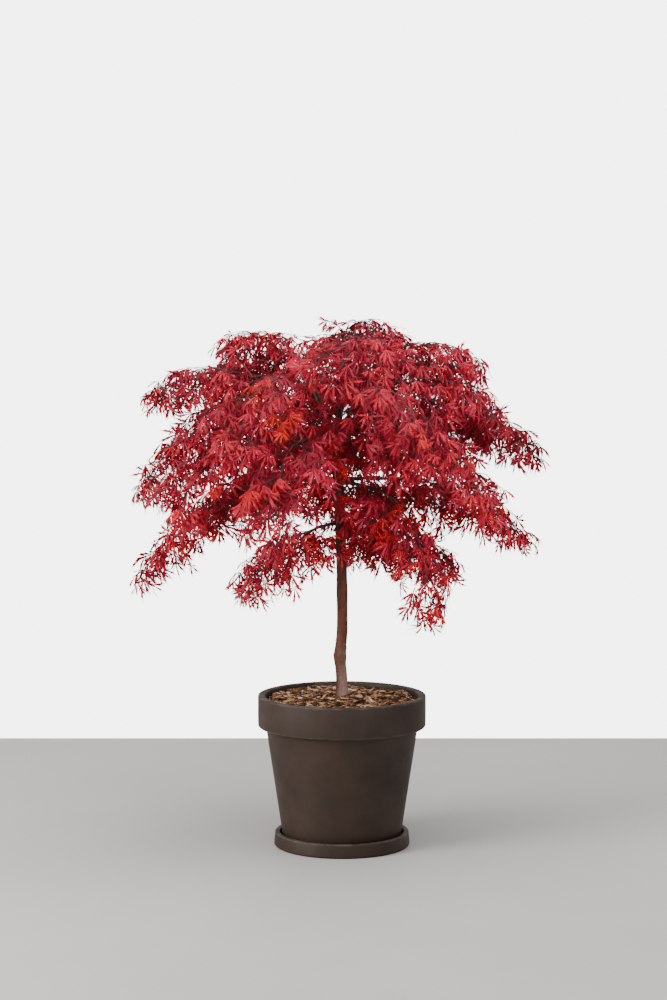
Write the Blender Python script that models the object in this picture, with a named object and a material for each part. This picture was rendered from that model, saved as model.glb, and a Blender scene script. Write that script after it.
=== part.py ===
"""A weeping Japanese maple on a clear stem, in a round pot that stands in its saucer.

Metres, +Z up. The origin is the middle of the saucer's underside. The plant's best side faces -Y.
The boughs spring from the head of the stem, arch over and hang. Each one carries a mass of foliage
that starts where the bough ends: a stem that goes on along the same arch, twigs in opposite pairs,
and cut leaves that hang from the twigs like shingles.
"""

import math
import random

import bmesh
import bpy
from mathutils import Vector
from mathutils.bvhtree import BVHTree
from mathutils.kdtree import KDTree

UP = Vector((0.0, 0.0, 1.0))
CLEARANCE = 0.0003  # between pieces that touch
WALL_GAP = 0.0004  # between the filling and the pot's wall

# The saucer, a little wider at its foot
SAUCER_RADIUS = 0.187
SAUCER_LIP_RADIUS = 0.184
SAUCER_HEIGHT = 0.038
SAUCER_WALL = 0.014
SAUCER_FLOOR = 0.010

# The pot: a tapered body under a deep straight rim
POT_FOOT_RADIUS = 0.1605
POT_BODY_RADIUS = 0.209  # just under the rim
POT_WALL = 0.009
POT_FLOOR = 0.012
RIM_RADIUS = 0.231
RIM_DEPTH = 0.086
RIM_WALL = 0.020
RIM_TOP = 0.417
EDGE_ROUND = 0.005
POTTERY_SIDES = 36

# The filling: compost under a layer of bark chips
MULCH_DEPTH = 0.026
MULCH_EDGE = 0.404  # its height where it meets the pot
MULCH_RINGS = 4
MULCH_SIDES = 18
MULCH_SEED = 11
CHIP_COUNT = 11
CHIP_SIZE = Vector((0.046, 0.016, 0.007))  # of the largest: others are down to CHIP_SMALLEST of it
CHIP_SMALLEST = 0.65
CHIP_TAPER = 0.7  # the width of its narrow end, as a share of the other's
CHIP_TILT = 0.12  # the furthest rise or fall from end to end, as a share of its length
CHIP_TURN = 137.5  # degrees round the pot from each chip to the next
CHIP_SPREAD = 0.86  # how near the pot's wall the last chip lies
LUMP = 0.0025  # how far the layer's surface is uneven

# The stem, from the bark chips to the head where the boughs spring
GROUND = 0.413
STEM_TOP = 1.150
STEM_RADIUS = 0.0155
STEM_TAPER = 0.0015
STEM_LEAN = -0.018
STEM_BOW = 0.008
FLARE = 0.007
FLARE_HEIGHT = 0.016
FOOT_PATCH = 0.028  # the radius of the flat patch of mulch that the stem stands on
GRAFT_HEIGHT = 0.523
GRAFT_SWELL = 0.0025
GRAFT_SPREAD = 0.018  # half the length of the swelling
GRAFT_KINK = -0.006
KINK_SPREAD = 0.045
HEAD_HEIGHT = 1.085
HEAD_SWELL = 0.004
HEAD_SPREAD = 0.060
STEM_SIDES = 10
STEM_RINGS = 16
RING_CROWDING = 1.35  # above 1, rings stand closer together near the foot

# The boughs
BOUGH_ROOT_RADIUS = 0.0058
BOUGH_END_RADIUS = 0.0034
BOUGH_SIDES = 5
BOUGH_RINGS = 5
BOUGH_THINNING = 1.2  # above 1, a bough loses most of its thickness near its root
BOUGH_SWAY = 7.0  # degrees, sideways along the arch
ARCH_START = 0.34  # how far out the arch's two control points lie, as shares of its reach
ARCH_END = 0.74
CREST_COVER = 0.020  # the foliage stands this much above the arch

# Each row: name, heading in degrees (0 is +X, 90 is +Y), height of the root on the stem, furthest
# reach of its foliage from the pot's axis, height of its crest, height of its lowest leaf, the
# share of the arch that is bare, and how wide its twigs spread, as a share of the widest.
BOUGHS = (
    ("crest_mid", 62, 1.141, 0.21, 1.443, 1.320, 0.32, 0.85),
    ("crest_left", 174, 1.094, 0.39, 1.408, 1.250, 0.46, 0.75),
    ("crest_right", 4, 1.114, 0.42, 1.385, 1.260, 0.46, 0.60),
    ("crest_front", 278, 1.088, 0.34, 1.405, 1.230, 0.26, 1.00),
    ("crest_back", 72, 1.090, 0.36, 1.405, 1.230, 0.26, 1.00),
    ("upper_left", 183, 1.062, 0.56, 1.315, 1.180, 0.29, 0.85),
    ("upper_front_left", 232, 1.080, 0.50, 1.300, 1.030, 0.29, 1.00),
    ("upper_front_right", 304, 1.060, 0.49, 1.290, 1.030, 0.29, 1.00),
    ("upper_right", 350, 1.086, 0.48, 1.335, 1.080, 0.29, 0.90),
    ("upper_back_right", 38, 1.062, 0.50, 1.290, 1.050, 0.29, 1.00),
    ("upper_back", 96, 1.070, 0.51, 1.290, 0.960, 0.29, 1.00),
    ("upper_back_left", 138, 1.058, 0.51, 1.365, 1.090, 0.29, 1.00),
    ("middle_left", 172, 1.034, 0.62, 1.220, 0.900, 0.36, 0.85),
    ("middle_front_left", 212, 1.048, 0.57, 1.175, 0.860, 0.36, 0.90),
    ("middle_front", 250, 1.032, 0.54, 1.145, 0.800, 0.36, 0.80),
    ("middle_front_right", 322, 1.046, 0.56, 1.165, 0.880, 0.36, 0.90),
    ("middle_right", 5, 1.040, 0.59, 1.200, 1.020, 0.36, 0.75),
    ("middle_back_right", 60, 1.030, 0.56, 1.160, 0.850, 0.36, 0.90),
    ("middle_back", 116, 1.042, 0.56, 1.150, 0.830, 0.36, 0.90),
    ("lower_left", 187, 1.005, 0.61, 1.000, 0.685, 0.42, 0.50),
    ("lower_front_right", 305, 1.000, 0.46, 0.980, 0.600, 0.36, 0.50),
    ("lower_right", 352, 1.010, 0.56, 1.020, 0.800, 0.40, 0.50),
    ("lower_back", 84, 0.995, 0.50, 0.990, 0.700, 0.30, 0.60),
    ("lower_back_left", 146, 1.007, 0.52, 1.030, 0.840, 0.40, 0.60),
    ("low_left", 206, 0.895, 0.35, 0.870, 0.660, 0.24, 0.45),
    ("low_right", 335, 0.920, 0.38, 0.900, 0.730, 0.26, 0.45),
)

# The foliage
FOLIAGE_SEED = 100
MASS_PAIRS = 3  # opposite pairs of twigs on a mass's stem
FIRST_PAIR = 0.10  # shares of that stem's length
LAST_PAIR = 0.84
MASS_LEAVES = 12
TIP_OVERHANG = 0.055  # the furthest and the lowest leaf reach this far past the arch's tip
TWIG_REACH = 0.170  # at the fullest part of the widest mass
TWIG_WAVE = (0.35, 0.93)  # the twigs' reach follows this part of a half wave along the stem
TWIG_ANGLE = 54.0  # degrees between a twig and its stem
TWIG_ANGLE_SPREAD = 8.0
TWIG_ROLL = 24.0  # degrees by which pairs tilt out of the flat
TWIG_ROLL_SPREAD = 8.6
TWIG_DROOP = 0.42  # how far its tip hangs, as a share of its reach
TWIG_SHRINK = 0.85  # a twig that finds no room is tried again at this share of its length
TWIG_SHORTEST = 0.03
TWIG_RADIUS = 0.0017
TWIG_TIP_RADIUS = 0.0014
TWIG_SIDES = 3
TWIG_RINGS = 3
MASS_STEM_SIDES = 3
MASS_STEM_RINGS = 4
MASS_STEM_TIP_RADIUS = 0.0024
LEAF_SIZE = 0.113
LEAF_STALK = 0.12  # the leaf's narrow base, as a share of its size
LEAF_THICKNESS = 0.0030
LEAF_SINK = 0.0004  # how far its base point lies past the twig's axis
LEAF_SAG = 0.16  # how far the lobes' tips hang below the blade's plane, as a share of its size
LEAF_TRIES = 12
LEAF_SMALLEST = 0.55  # the last try's size, as a share of the first
# Where leaves hang on a twig: the share of its length, and the side, or 0 for straight on.
LEAF_SPOTS = ((0.4, -1), (0.5, 1), (0.6, -1), (0.7, 1), (0.8, -1), (0.9, 1), (1.0, 0))
# Half of the leaf's outline, from its middle lobe to its waist: the angle in degrees and the length
# of each lobe's tip and of the cut after it, as shares of the leaf's size.
LEAF_LOBES = ((0, 1.00), (17, 0.33), (34, 0.86), (52, 0.28), (70, 0.60), (95, 0.055))
LEAF_CENTRE = 0.10  # where the blade is thickest
LEAF_SPREAD = (0.5, 1.1)  # how far it turns from its twig to the side
LEAF_OUTWARD = 0.25  # how far it turns away from the pot's axis
LEAF_HANG = 0.6  # the most that it turns down
FACE_UP = 0.9  # what its upper face looks along: upwards, outwards and at random
FACE_OUTWARD = 0.6
FACE_LOOSE = 0.5

# The space of each mass: all points that lie nearer to its own arch than to any other
SPACE_SAMPLES = 12  # points along the arch
SPACE_END = 1.06  # the last of them, as a share of the arch
SPACE_NEAREST = 26  # samples looked at round a point
SPACE_MARGIN = 0.0015  # kept clear on each side of the border between two masses
SPACE_DROP = 0.030  # a mass owns more room below its arch than above it
LIMB_MARGIN = 0.0015

COLOURS = {
    "pottery": ((0.075, 0.055, 0.045), 0.62),
    "compost": ((0.030, 0.020, 0.014), 0.95),
    "bark_chips": ((0.28, 0.165, 0.095), 0.88),
    "bark": ((0.115, 0.052, 0.040), 0.80),
    "foliage": ((0.42, 0.012, 0.026), 0.55),
}


def material(name):
    """The material of that name, made from its colour and roughness."""
    if name in bpy.data.materials:
        return bpy.data.materials[name]
    colour, roughness = COLOURS[name]
    made = bpy.data.materials.new(name)
    made.use_nodes = True
    shader = made.node_tree.nodes["Principled BSDF"]
    shader.inputs["Base Color"].default_value = (*colour, 1.0)
    shader.inputs["Roughness"].default_value = roughness
    shader.inputs["Metallic"].default_value = 0.0
    return made


def new_object(name, points, faces, finish):
    """A mesh object from its points and faces."""
    mesh = bpy.data.meshes.new(name)
    mesh.from_pydata([tuple(p) for p in points], [], faces)
    mesh.materials.append(material(finish))
    made = bpy.data.objects.new(name, mesh)
    bpy.context.scene.collection.objects.link(made)
    return made


def turned(name, profile, finish):
    """A solid of revolution round Z; its profile of (radius, height) starts and ends on the axis."""
    shape = bmesh.new()
    points = [shape.verts.new((radius, 0.0, height)) for radius, height in profile]
    edges = [shape.edges.new(pair) for pair in zip(points, points[1:])]
    bmesh.ops.spin(
        shape,
        geom=points + edges,
        axis=UP,
        cent=(0.0, 0.0, 0.0),
        angle=2 * math.pi,
        steps=POTTERY_SIDES,
        use_merge=True,
    )
    bmesh.ops.remove_doubles(shape, verts=shape.verts[:], dist=1e-5)
    bmesh.ops.recalc_face_normals(shape, faces=shape.faces[:])
    mesh = bpy.data.meshes.new(name)
    shape.to_mesh(mesh)
    shape.free()
    mesh.materials.append(material(finish))
    mesh.shade_smooth()
    mesh.set_sharp_from_angle(angle=math.radians(35))
    made = bpy.data.objects.new(name, mesh)
    bpy.context.scene.collection.objects.link(made)
    return made


def tube(path, radii, sides, directions=None):
    """Points and faces of a round, capped tube, its rings carried along without twisting."""
    points = []
    faces = []
    across = None
    for i, centre in enumerate(path):
        along = (path[min(i + 1, len(path) - 1)] - path[max(i - 1, 0)]).normalized()
        if directions:
            along = directions[i]
        if across is None:
            across = along.orthogonal().normalized()
        across = (across - along * across.dot(along)).normalized()
        over = along.cross(across)
        for k in range(sides):
            turn = 2 * math.pi * k / sides
            points.append(centre + (across * math.cos(turn) + over * math.sin(turn)) * radii[i])
    for i in range(len(path) - 1):
        for k in range(sides):
            a, b = i * sides + k, i * sides + (k + 1) % sides
            faces.append((a, b, b + sides, a + sides))
    faces.append(tuple(reversed(range(sides))))
    faces.append(tuple(range((len(path) - 1) * sides, len(path) * sides)))
    return points, faces


# ---------------------------------------------------------------- pot, saucer and filling


def saucer():
    inner = SAUCER_LIP_RADIUS - SAUCER_WALL
    profile = (
        (0.0, 0.0),
        (SAUCER_RADIUS - EDGE_ROUND, 0.0),
        (SAUCER_RADIUS, EDGE_ROUND),
        (SAUCER_LIP_RADIUS, SAUCER_HEIGHT - EDGE_ROUND),
        (SAUCER_LIP_RADIUS - EDGE_ROUND, SAUCER_HEIGHT),
        (inner + EDGE_ROUND / 2, SAUCER_HEIGHT),
        (inner, SAUCER_HEIGHT - EDGE_ROUND / 2),
        (inner - EDGE_ROUND / 2, SAUCER_FLOOR),
        (0.0, SAUCER_FLOOR),
    )
    return turned("saucer", profile, "pottery")


def pot_inner_radius(height):
    """The radius of the pot's inner wall at a height."""
    foot = SAUCER_FLOOR + CLEARANCE + POT_FLOOR
    share = (height - foot) / (RIM_TOP - foot)
    narrow = POT_FOOT_RADIUS - POT_WALL
    return narrow + share * (RIM_RADIUS - RIM_WALL - narrow)


def pot():
    foot = SAUCER_FLOOR + CLEARANCE
    under_rim = RIM_TOP - RIM_DEPTH
    inner = RIM_RADIUS - RIM_WALL
    profile = (
        (0.0, foot),
        (POT_FOOT_RADIUS - EDGE_ROUND, foot),
        (POT_FOOT_RADIUS, foot + EDGE_ROUND),
        (POT_BODY_RADIUS, under_rim),
        (RIM_RADIUS - EDGE_ROUND, under_rim),
        (RIM_RADIUS, under_rim + EDGE_ROUND),
        (RIM_RADIUS, RIM_TOP - EDGE_ROUND),
        (RIM_RADIUS - EDGE_ROUND, RIM_TOP),
        (inner, RIM_TOP),
        (pot_inner_radius(foot + POT_FLOOR), foot + POT_FLOOR),
        (0.0, foot + POT_FLOOR),
    )
    return turned("pot", profile, "pottery")


def compost():
    bottom = SAUCER_FLOOR + POT_FLOOR + 2 * CLEARANCE
    top = MULCH_EDGE - MULCH_DEPTH
    profile = (
        (0.0, bottom),
        (pot_inner_radius(bottom) - WALL_GAP, bottom),
        (pot_inner_radius(top) - WALL_GAP, top),
        (0.0, top),
    )
    return turned("compost", profile, "compost")


def mulch_height(radius):
    """A low mound that is flat under the foot of the stem."""
    share = (radius - FOOT_PATCH) / (pot_inner_radius(MULCH_EDGE) - FOOT_PATCH)
    return GROUND - CLEARANCE + max(share, 0.0) * (MULCH_EDGE - GROUND)


def chip(index, rng):
    """A long flake of bark that lies half sunk in the layer."""
    turn = rng.uniform(0, math.pi)
    where = math.radians(CHIP_TURN) * index
    share = math.sqrt((index + 3) / (CHIP_COUNT + 3))
    radius = pot_inner_radius(MULCH_EDGE) * share * CHIP_SPREAD
    size = CHIP_SIZE * rng.uniform(CHIP_SMALLEST, 1.0)
    tilt = rng.uniform(-CHIP_TILT, CHIP_TILT)
    along = Vector((math.cos(turn), math.sin(turn), tilt)).normalized()
    across = UP.cross(along).normalized()
    over = along.cross(across)
    centre = Vector((radius * math.cos(where), radius * math.sin(where), mulch_height(radius)))
    points = []
    for end, width in ((-0.5, CHIP_TAPER), (0.5, 1.0)):
        for side, up in ((-1, -1), (1, -1), (1, 1), (-1, 1)):
            points.append(
                centre
                + along * size.x * end
                + across * size.y * side * width / 2
                + over * size.z * up / 2
            )
    faces = [(3, 2, 1, 0), (4, 5, 6, 7)]
    faces += [(k, (k + 1) % 4, 4 + (k + 1) % 4, 4 + k) for k in range(4)]
    return new_object(f"chip_{index}", points, faces, "bark_chips")


def mulch():
    rng = random.Random(MULCH_SEED)
    edge = pot_inner_radius(MULCH_EDGE) - WALL_GAP
    bottom = MULCH_EDGE - MULCH_DEPTH + CLEARANCE
    low_edge = pot_inner_radius(bottom) - WALL_GAP
    points = [Vector((0.0, 0.0, mulch_height(0.0)))]
    for ring in range(MULCH_RINGS):
        radius = FOOT_PATCH + (edge - FOOT_PATCH) * ring / (MULCH_RINGS - 1)
        for k in range(MULCH_SIDES):
            turn = 2 * math.pi * k / MULCH_SIDES
            lump = 0.0 if ring in (0, MULCH_RINGS - 1) else rng.uniform(-LUMP, LUMP)
            height = mulch_height(radius) + lump
            points.append(Vector((radius * math.cos(turn), radius * math.sin(turn), height)))
    for k in range(MULCH_SIDES):
        turn = 2 * math.pi * k / MULCH_SIDES
        points.append(Vector((low_edge * math.cos(turn), low_edge * math.sin(turn), bottom)))
    faces = [(0, 1 + k, 1 + (k + 1) % MULCH_SIDES) for k in range(MULCH_SIDES)]
    for ring in range(MULCH_RINGS):
        for k in range(MULCH_SIDES):
            a = 1 + ring * MULCH_SIDES + k
            b = 1 + ring * MULCH_SIDES + (k + 1) % MULCH_SIDES
            faces.append((a, a + MULCH_SIDES, b + MULCH_SIDES, b))
    last = 1 + MULCH_RINGS * MULCH_SIDES
    faces.append(tuple(last + k for k in reversed(range(MULCH_SIDES))))
    made = new_object("bark_mulch", points, faces, "bark_chips")
    join_solids(made, [chip(i, rng) for i in range(CHIP_COUNT)], "EXACT")
    return made


# ---------------------------------------------------------------- joining and cutting solids


def keep_largest_body(made):
    """Drops every loose scrap and fills every sealed hollow that a Boolean has left."""
    shape = bmesh.new()
    shape.from_mesh(made.data)
    left = set(shape.verts)
    bodies = []
    while left:
        body = {left.pop()}
        edge_of_body = list(body)
        while edge_of_body:
            near = {e.other_vert(v) for v in edge_of_body for e in v.link_edges} - body
            body |= near
            edge_of_body = list(near)
        left -= body
        bodies.append(body)
    bodies.sort(key=len)
    scraps = [v for body in bodies[:-1] for v in body]
    bmesh.ops.delete(shape, geom=scraps, context="VERTS")
    shape.to_mesh(made.data)
    shape.free()


def join_solids(made, others, solver):
    """One Boolean union of an object with a collection of others, which are then removed."""
    group = bpy.data.collections.new(made.name + "_pieces")
    for piece in others:
        bpy.context.scene.collection.objects.unlink(piece)
        group.objects.link(piece)
    union = made.modifiers.new("join", "BOOLEAN")
    union.operation = "UNION"
    union.operand_type = "COLLECTION"
    union.collection = group
    union.solver = solver
    apply_modifiers(made)
    for piece in others:
        bpy.data.objects.remove(piece)
    bpy.data.collections.remove(group)
    keep_largest_body(made)


def apply_modifiers(made):
    """Makes the evaluated mesh the object's own."""
    graph = bpy.context.evaluated_depsgraph_get()
    shaped = bpy.data.meshes.new_from_object(made.evaluated_get(graph))
    made.modifiers.clear()
    made.data = shaped


def cut_clear(made, cutter):
    """Cuts an object clear of a hidden helper."""
    cut = made.modifiers.new("cut", "BOOLEAN")
    cut.operation = "DIFFERENCE"
    cut.object = cutter
    apply_modifiers(made)
    keep_largest_body(made)


# ---------------------------------------------------------------- stem and boughs


def bump(height, middle, spread):
    """A smooth rise from 0 to 1 and back, round a middle height."""
    return math.exp(-(((height - middle) / spread) ** 2))


def stem_axis(height):
    """The point on the stem's axis at a height."""
    share = (height - GROUND) / (STEM_TOP - GROUND)
    kink = GRAFT_KINK * bump(height, GRAFT_HEIGHT, KINK_SPREAD)
    return Vector((STEM_LEAN * share + STEM_BOW * math.sin(math.pi * share) + kink, 0.0, height))


def stem_radius(height):
    """The stem's radius: a flare at the foot, a swelling at the graft and another at the head."""
    share = (height - GROUND) / (STEM_TOP - GROUND)
    flare = FLARE * math.exp(-(height - GROUND) / FLARE_HEIGHT)
    graft = GRAFT_SWELL * bump(height, GRAFT_HEIGHT, GRAFT_SPREAD)
    head = HEAD_SWELL * bump(height, HEAD_HEIGHT, HEAD_SPREAD)
    return STEM_RADIUS - STEM_TAPER * share + flare + graft + head


def stem_heights():
    """Rings along the stem, closer together near the flare and the graft."""
    shares = [i / (STEM_RINGS - 1) for i in range(STEM_RINGS)]
    return [GROUND + (STEM_TOP - GROUND) * share**RING_CROWDING for share in shares]


def stem(name, extra):
    """The stem, or a helper that is thicker by extra all round and a little longer."""
    heights = stem_heights()
    path = [stem_axis(h) for h in heights]
    path[0].z -= extra
    path[-1].z += extra
    radii = [stem_radius(h) + extra for h in heights]
    points, faces = tube(path, radii, STEM_SIDES, [UP] * len(path))
    return new_object(name, points, faces, "bark")


class Bough:
    """One arching limb, and the space that its mass of foliage keeps to."""

    def __init__(self, row):
        self.name, heading, self.root, self.reach, self.crest, self.lowest = row[:6]
        self.bare, self.spread = row[6:]
        self.heading = math.radians(heading)
        self.out = self.reach - TIP_OVERHANG
        self.tip = self.lowest + TIP_OVERHANG
        self.control = (self.crest - CREST_COVER - (self.root + self.tip) / 8) / 0.75
        self.sway = math.radians(BOUGH_SWAY) * (1 if heading % 2 else -1)

    def at(self, share):
        """The point at a share of the arch: a cubic curve from the stem's axis to the tip."""
        back = 1 - share
        near, far = 3 * back**2 * share, 3 * back * share**2
        out = self.out * (near * ARCH_START + far * ARCH_END + share**3)
        height = back**3 * self.root + (near + far) * self.control + share**3 * self.tip
        turn = self.heading + self.sway * math.sin(math.pi * share)
        foot = stem_axis(self.root) * back**2
        return Vector((foot.x + out * math.cos(turn), out * math.sin(turn), height))

    def along(self, share):
        """The direction of the arch there."""
        step = 0.01
        return (self.at(share + step) - self.at(share - step)).normalized()

    def limb(self, extra):
        """Points and faces of the bare part, thicker by extra all round."""
        path = []
        radii = []
        directions = []
        for i in range(BOUGH_RINGS):
            share = self.bare * i / (BOUGH_RINGS - 1)
            thin = (1 - i / (BOUGH_RINGS - 1)) ** BOUGH_THINNING
            path.append(self.at(share))
            radii.append(
                BOUGH_END_RADIUS + (BOUGH_ROOT_RADIUS - BOUGH_END_RADIUS) * thin + extra
            )
            directions.append(self.along(share))
        return tube(path, radii, BOUGH_SIDES, directions)

    def holds(self, point):
        """Whether a point lies within the reach and the height that the foliage keeps to."""
        return math.hypot(point.x, point.y) <= self.reach and self.lowest <= point.z <= self.crest


def bough_objects(boughs):
    """Every bough, its root cut to sit on the stem."""
    cutter = stem("stem_cutter", CLEARANCE)
    for bough in boughs:
        points, faces = bough.limb(0.0)
        made = new_object("bough_" + bough.name, points, faces, "bark")
        cut_clear(made, cutter)
    bpy.data.objects.remove(cutter)


# ---------------------------------------------------------------- foliage


def leaf_shape():
    """Points and faces of a leaf in its own frame: +X to its middle lobe's tip, +Z its upper face.

    The first point is the blade's raised centre and the last is its base, which lies in the twig.
    The points between them go round the outline, by turns a cut and a lobe's tip.
    """
    half = list(LEAF_LOBES)
    outline = [(-angle, length) for angle, length in reversed(half)] + half[1:]
    thick = LEAF_THICKNESS / LEAF_SIZE
    points = [Vector((LEAF_CENTRE, 0.0, thick))]
    for place, (angle, length) in enumerate(outline):
        turn = math.radians(angle)
        ridge = thick if place % 2 else 0.0
        height = ridge - LEAF_SAG * length
        points.append(Vector((length * math.cos(turn), length * math.sin(turn), height)))
    points.append(Vector((-LEAF_STALK, 0.0, 0.0)))
    last = len(points) - 1
    faces = [(0, i, i % last + 1) for i in range(1, last + 1)]
    faces += [(tip + 1, tip, tip - 1) for tip in range(2, last, 2)]
    for cut in (1, 3):
        faces.append((cut, last - cut, last - cut - 2, cut + 2))
    faces.append((last, last - 1, 1))
    return points, faces


LEAF_POINTS, LEAF_FACES = leaf_shape()
BLADE_FACES = [face for face in LEAF_FACES if len(LEAF_POINTS) - 1 not in face]  # all but its base


def placed_leaf(root, direction, face, size):
    """The leaf's points where it hangs from its twig."""
    across = face.cross(direction).normalized()
    over = direction.cross(across).normalized()
    base = root + direction * (LEAF_STALK * size - LEAF_SINK)
    points = []
    for p in LEAF_POINTS:
        points.append(base + (direction * p.x + across * p.y + over * p.z) * size)
    return points


def touches(tree, others):
    return any(tree.overlap(other) for other in others)


class Room:
    """What a twig or a leaf may take up: its own mass's space, clear of every limb."""

    def __init__(self, boughs):
        self.boughs = boughs
        self.samples = []
        for owner, bough in enumerate(boughs):
            for i in range(SPACE_SAMPLES):
                share = bough.bare + (SPACE_END - bough.bare) * i / (SPACE_SAMPLES - 1)
                self.samples.append((owner, bough.at(share) - UP * SPACE_DROP))
        self.tree = KDTree(len(self.samples))
        for i, (_, place) in enumerate(self.samples):
            self.tree.insert(place, i)
        self.tree.balance()
        heights = stem_heights()
        radii = [stem_radius(h) + LIMB_MARGIN for h in heights]
        limbs = [bough.limb(LIMB_MARGIN) for bough in boughs]
        limbs.append(tube([stem_axis(h) for h in heights], radii, STEM_SIDES))
        self.limb_trees = [BVHTree.FromPolygons(points, faces) for points, faces in limbs]

    def is_inside(self, point, owner):
        """Whether a point lies in the owner's space, by more than the margin."""
        if not self.boughs[owner].holds(point):
            return False
        near = self.tree.find_n(point, SPACE_NEAREST)
        mine = [distance for _, i, distance in near if self.samples[i][0] == owner]
        others = [distance for _, i, distance in near if self.samples[i][0] != owner]
        return bool(mine) and (not others or mine[0] + 2 * SPACE_MARGIN < others[0])

    def admits(self, points, faces, owner):
        """The search tree of a piece that keeps to its space and clear of every limb, or None."""
        if not all(self.is_inside(p, owner) for p in points):
            return None
        tree = BVHTree.FromPolygons(points, faces)
        return None if touches(tree, self.limb_trees) else tree


def point_on(path, run):
    """The point at a share of a path's rings, and the path's direction there."""
    place = run * (len(path) - 1)
    i = min(int(place), len(path) - 2)
    return path[i].lerp(path[i + 1], place - i), (path[i + 1] - path[i]).normalized()


def twig_path(stem_path, run, side, pair, spread, rng):
    """A twig that leaves its stem at an angle, then droops."""
    root, along = point_on(stem_path, run)
    sideways = along.cross(UP).normalized() * side
    roll = TWIG_ROLL * (1 if pair % 2 else -1) * side
    roll = math.radians(roll + rng.uniform(-TWIG_ROLL_SPREAD, TWIG_ROLL_SPREAD))
    sideways = sideways * math.cos(roll) + UP * math.sin(roll)
    angle = math.radians(TWIG_ANGLE + rng.uniform(-TWIG_ANGLE_SPREAD, TWIG_ANGLE_SPREAD))
    direction = (along * math.cos(angle) + sideways * math.sin(angle)).normalized()
    start, end = TWIG_WAVE
    fullness = math.sin(math.pi * (start + (end - start) * run))
    reach = TWIG_REACH * spread * fullness * rng.uniform(0.85, 1.12)
    path = []
    for i in range(TWIG_RINGS):
        part = i / (TWIG_RINGS - 1)
        path.append(root + direction * reach * part - UP * TWIG_DROOP * reach * part**2)
    return path


def leaf_spots(path):
    """Where leaves can hang on a twig, as (root, twig's direction, sideways, outward)."""
    spots = []
    for run, side in LEAF_SPOTS:
        root, along = point_on(path, run)
        sideways = along.cross(UP).normalized() * side
        outward = Vector((root.x, root.y, 0.0)).normalized()
        spots.append((root, along, sideways, outward))
    return spots


def hang(spot, rng):
    """One way for a leaf to hang there: its direction and the way its upper face looks."""
    _, along, sideways, outward = spot
    direction = along + sideways * rng.uniform(*LEAF_SPREAD) + outward * LEAF_OUTWARD
    direction = (direction.normalized() - UP * rng.uniform(0.0, LEAF_HANG)).normalized()
    loose = Vector((rng.uniform(-1, 1), rng.uniform(-1, 1), rng.uniform(-1, 1)))
    face = UP * FACE_UP + outward * FACE_OUTWARD + loose * FACE_LOOSE
    return direction, (face - direction * face.dot(direction)).normalized()


def mass(owner, bough, room):
    """One mass of foliage: its stem, twigs and leaves, joined into a single solid."""
    rng = random.Random(FOLIAGE_SEED + owner)
    stem_path = []
    radii = []
    directions = []
    for i in range(MASS_STEM_RINGS):
        run = i / (MASS_STEM_RINGS - 1)
        share = bough.bare + (1 - bough.bare) * run
        stem_path.append(bough.at(share))
        directions.append(bough.along(share))
        radii.append(BOUGH_END_RADIUS + (MASS_STEM_TIP_RADIUS - BOUGH_END_RADIUS) * run)
    stem_path[0] = stem_path[0] + directions[0] * CLEARANCE
    points, faces = tube(stem_path, radii, MASS_STEM_SIDES, directions)
    made = new_object("foliage_" + bough.name, points, faces, "foliage")
    spots = leaf_spots(stem_path)
    wood = [BVHTree.FromPolygons(points, faces)]
    pieces = []
    radii = [
        TWIG_RADIUS + (TWIG_TIP_RADIUS - TWIG_RADIUS) * i / (TWIG_RINGS - 1)
        for i in range(TWIG_RINGS)
    ]
    for pair in range(MASS_PAIRS):
        run = FIRST_PAIR + (LAST_PAIR - FIRST_PAIR) * pair / (MASS_PAIRS - 1)
        for side in (-1, 1):
            path = twig_path(stem_path, run, side, pair, bough.spread, rng)
            points, faces = tube(path, radii, TWIG_SIDES)
            tree = room.admits(points, faces, owner)
            while not tree and (path[-1] - path[0]).length > TWIG_SHORTEST:
                path = [path[0].lerp(p, TWIG_SHRINK) for p in path]
                points, faces = tube(path, radii, TWIG_SIDES)
                tree = room.admits(points, faces, owner)
            if tree:
                wood.append(tree)
                pieces.append(new_object(f"twig_{len(pieces)}", points, faces, "foliage"))
                spots += leaf_spots(path)
    rng.shuffle(spots)
    leaves = []
    for spot in spots:
        for attempt in range(LEAF_TRIES):
            shrink = 1 - (1 - LEAF_SMALLEST) * attempt / (LEAF_TRIES - 1)
            size = LEAF_SIZE * shrink * rng.uniform(0.9, 1.1)
            points = placed_leaf(spot[0], *hang(spot, rng), size)
            blade = BVHTree.FromPolygons(points, BLADE_FACES)
            tree = room.admits(points, LEAF_FACES, owner)
            rooted = tree and touches(tree, wood)
            if rooted and not touches(tree, leaves) and not touches(blade, wood):
                leaves.append(tree)
                pieces.append(new_object(f"leaf_{len(pieces)}", points, LEAF_FACES, "foliage"))
                break
        if len(leaves) == MASS_LEAVES:
            break
    join_solids(made, pieces, "MANIFOLD")  # EXACT leaves a hole where thin leaves cross a twig


def main():
    for old in list(bpy.data.objects):
        bpy.data.objects.remove(old)
    saucer()
    pot()
    compost()
    mulch()
    stem("stem", 0.0)
    boughs = [Bough(row) for row in BOUGHS]
    bough_objects(boughs)
    room = Room(boughs)
    for owner, bough in enumerate(boughs):
        mass(owner, bough, room)


main()
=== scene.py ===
"""A weeping Japanese maple in its pot: the finish of pot, mulch, bark, twigs and leaves.

Metres, +Z up, and the plant's best side faces -Y. The boughs follow the same arches as the frame's,
and each mass of foliage grows on from its bough by the same rule, carried to finer twigs.
"""

import bisect
import itertools
import math
import random

import bpy
import numpy as np
from mathutils import Matrix, Vector, noise
from mathutils.kdtree import KDTree


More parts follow.
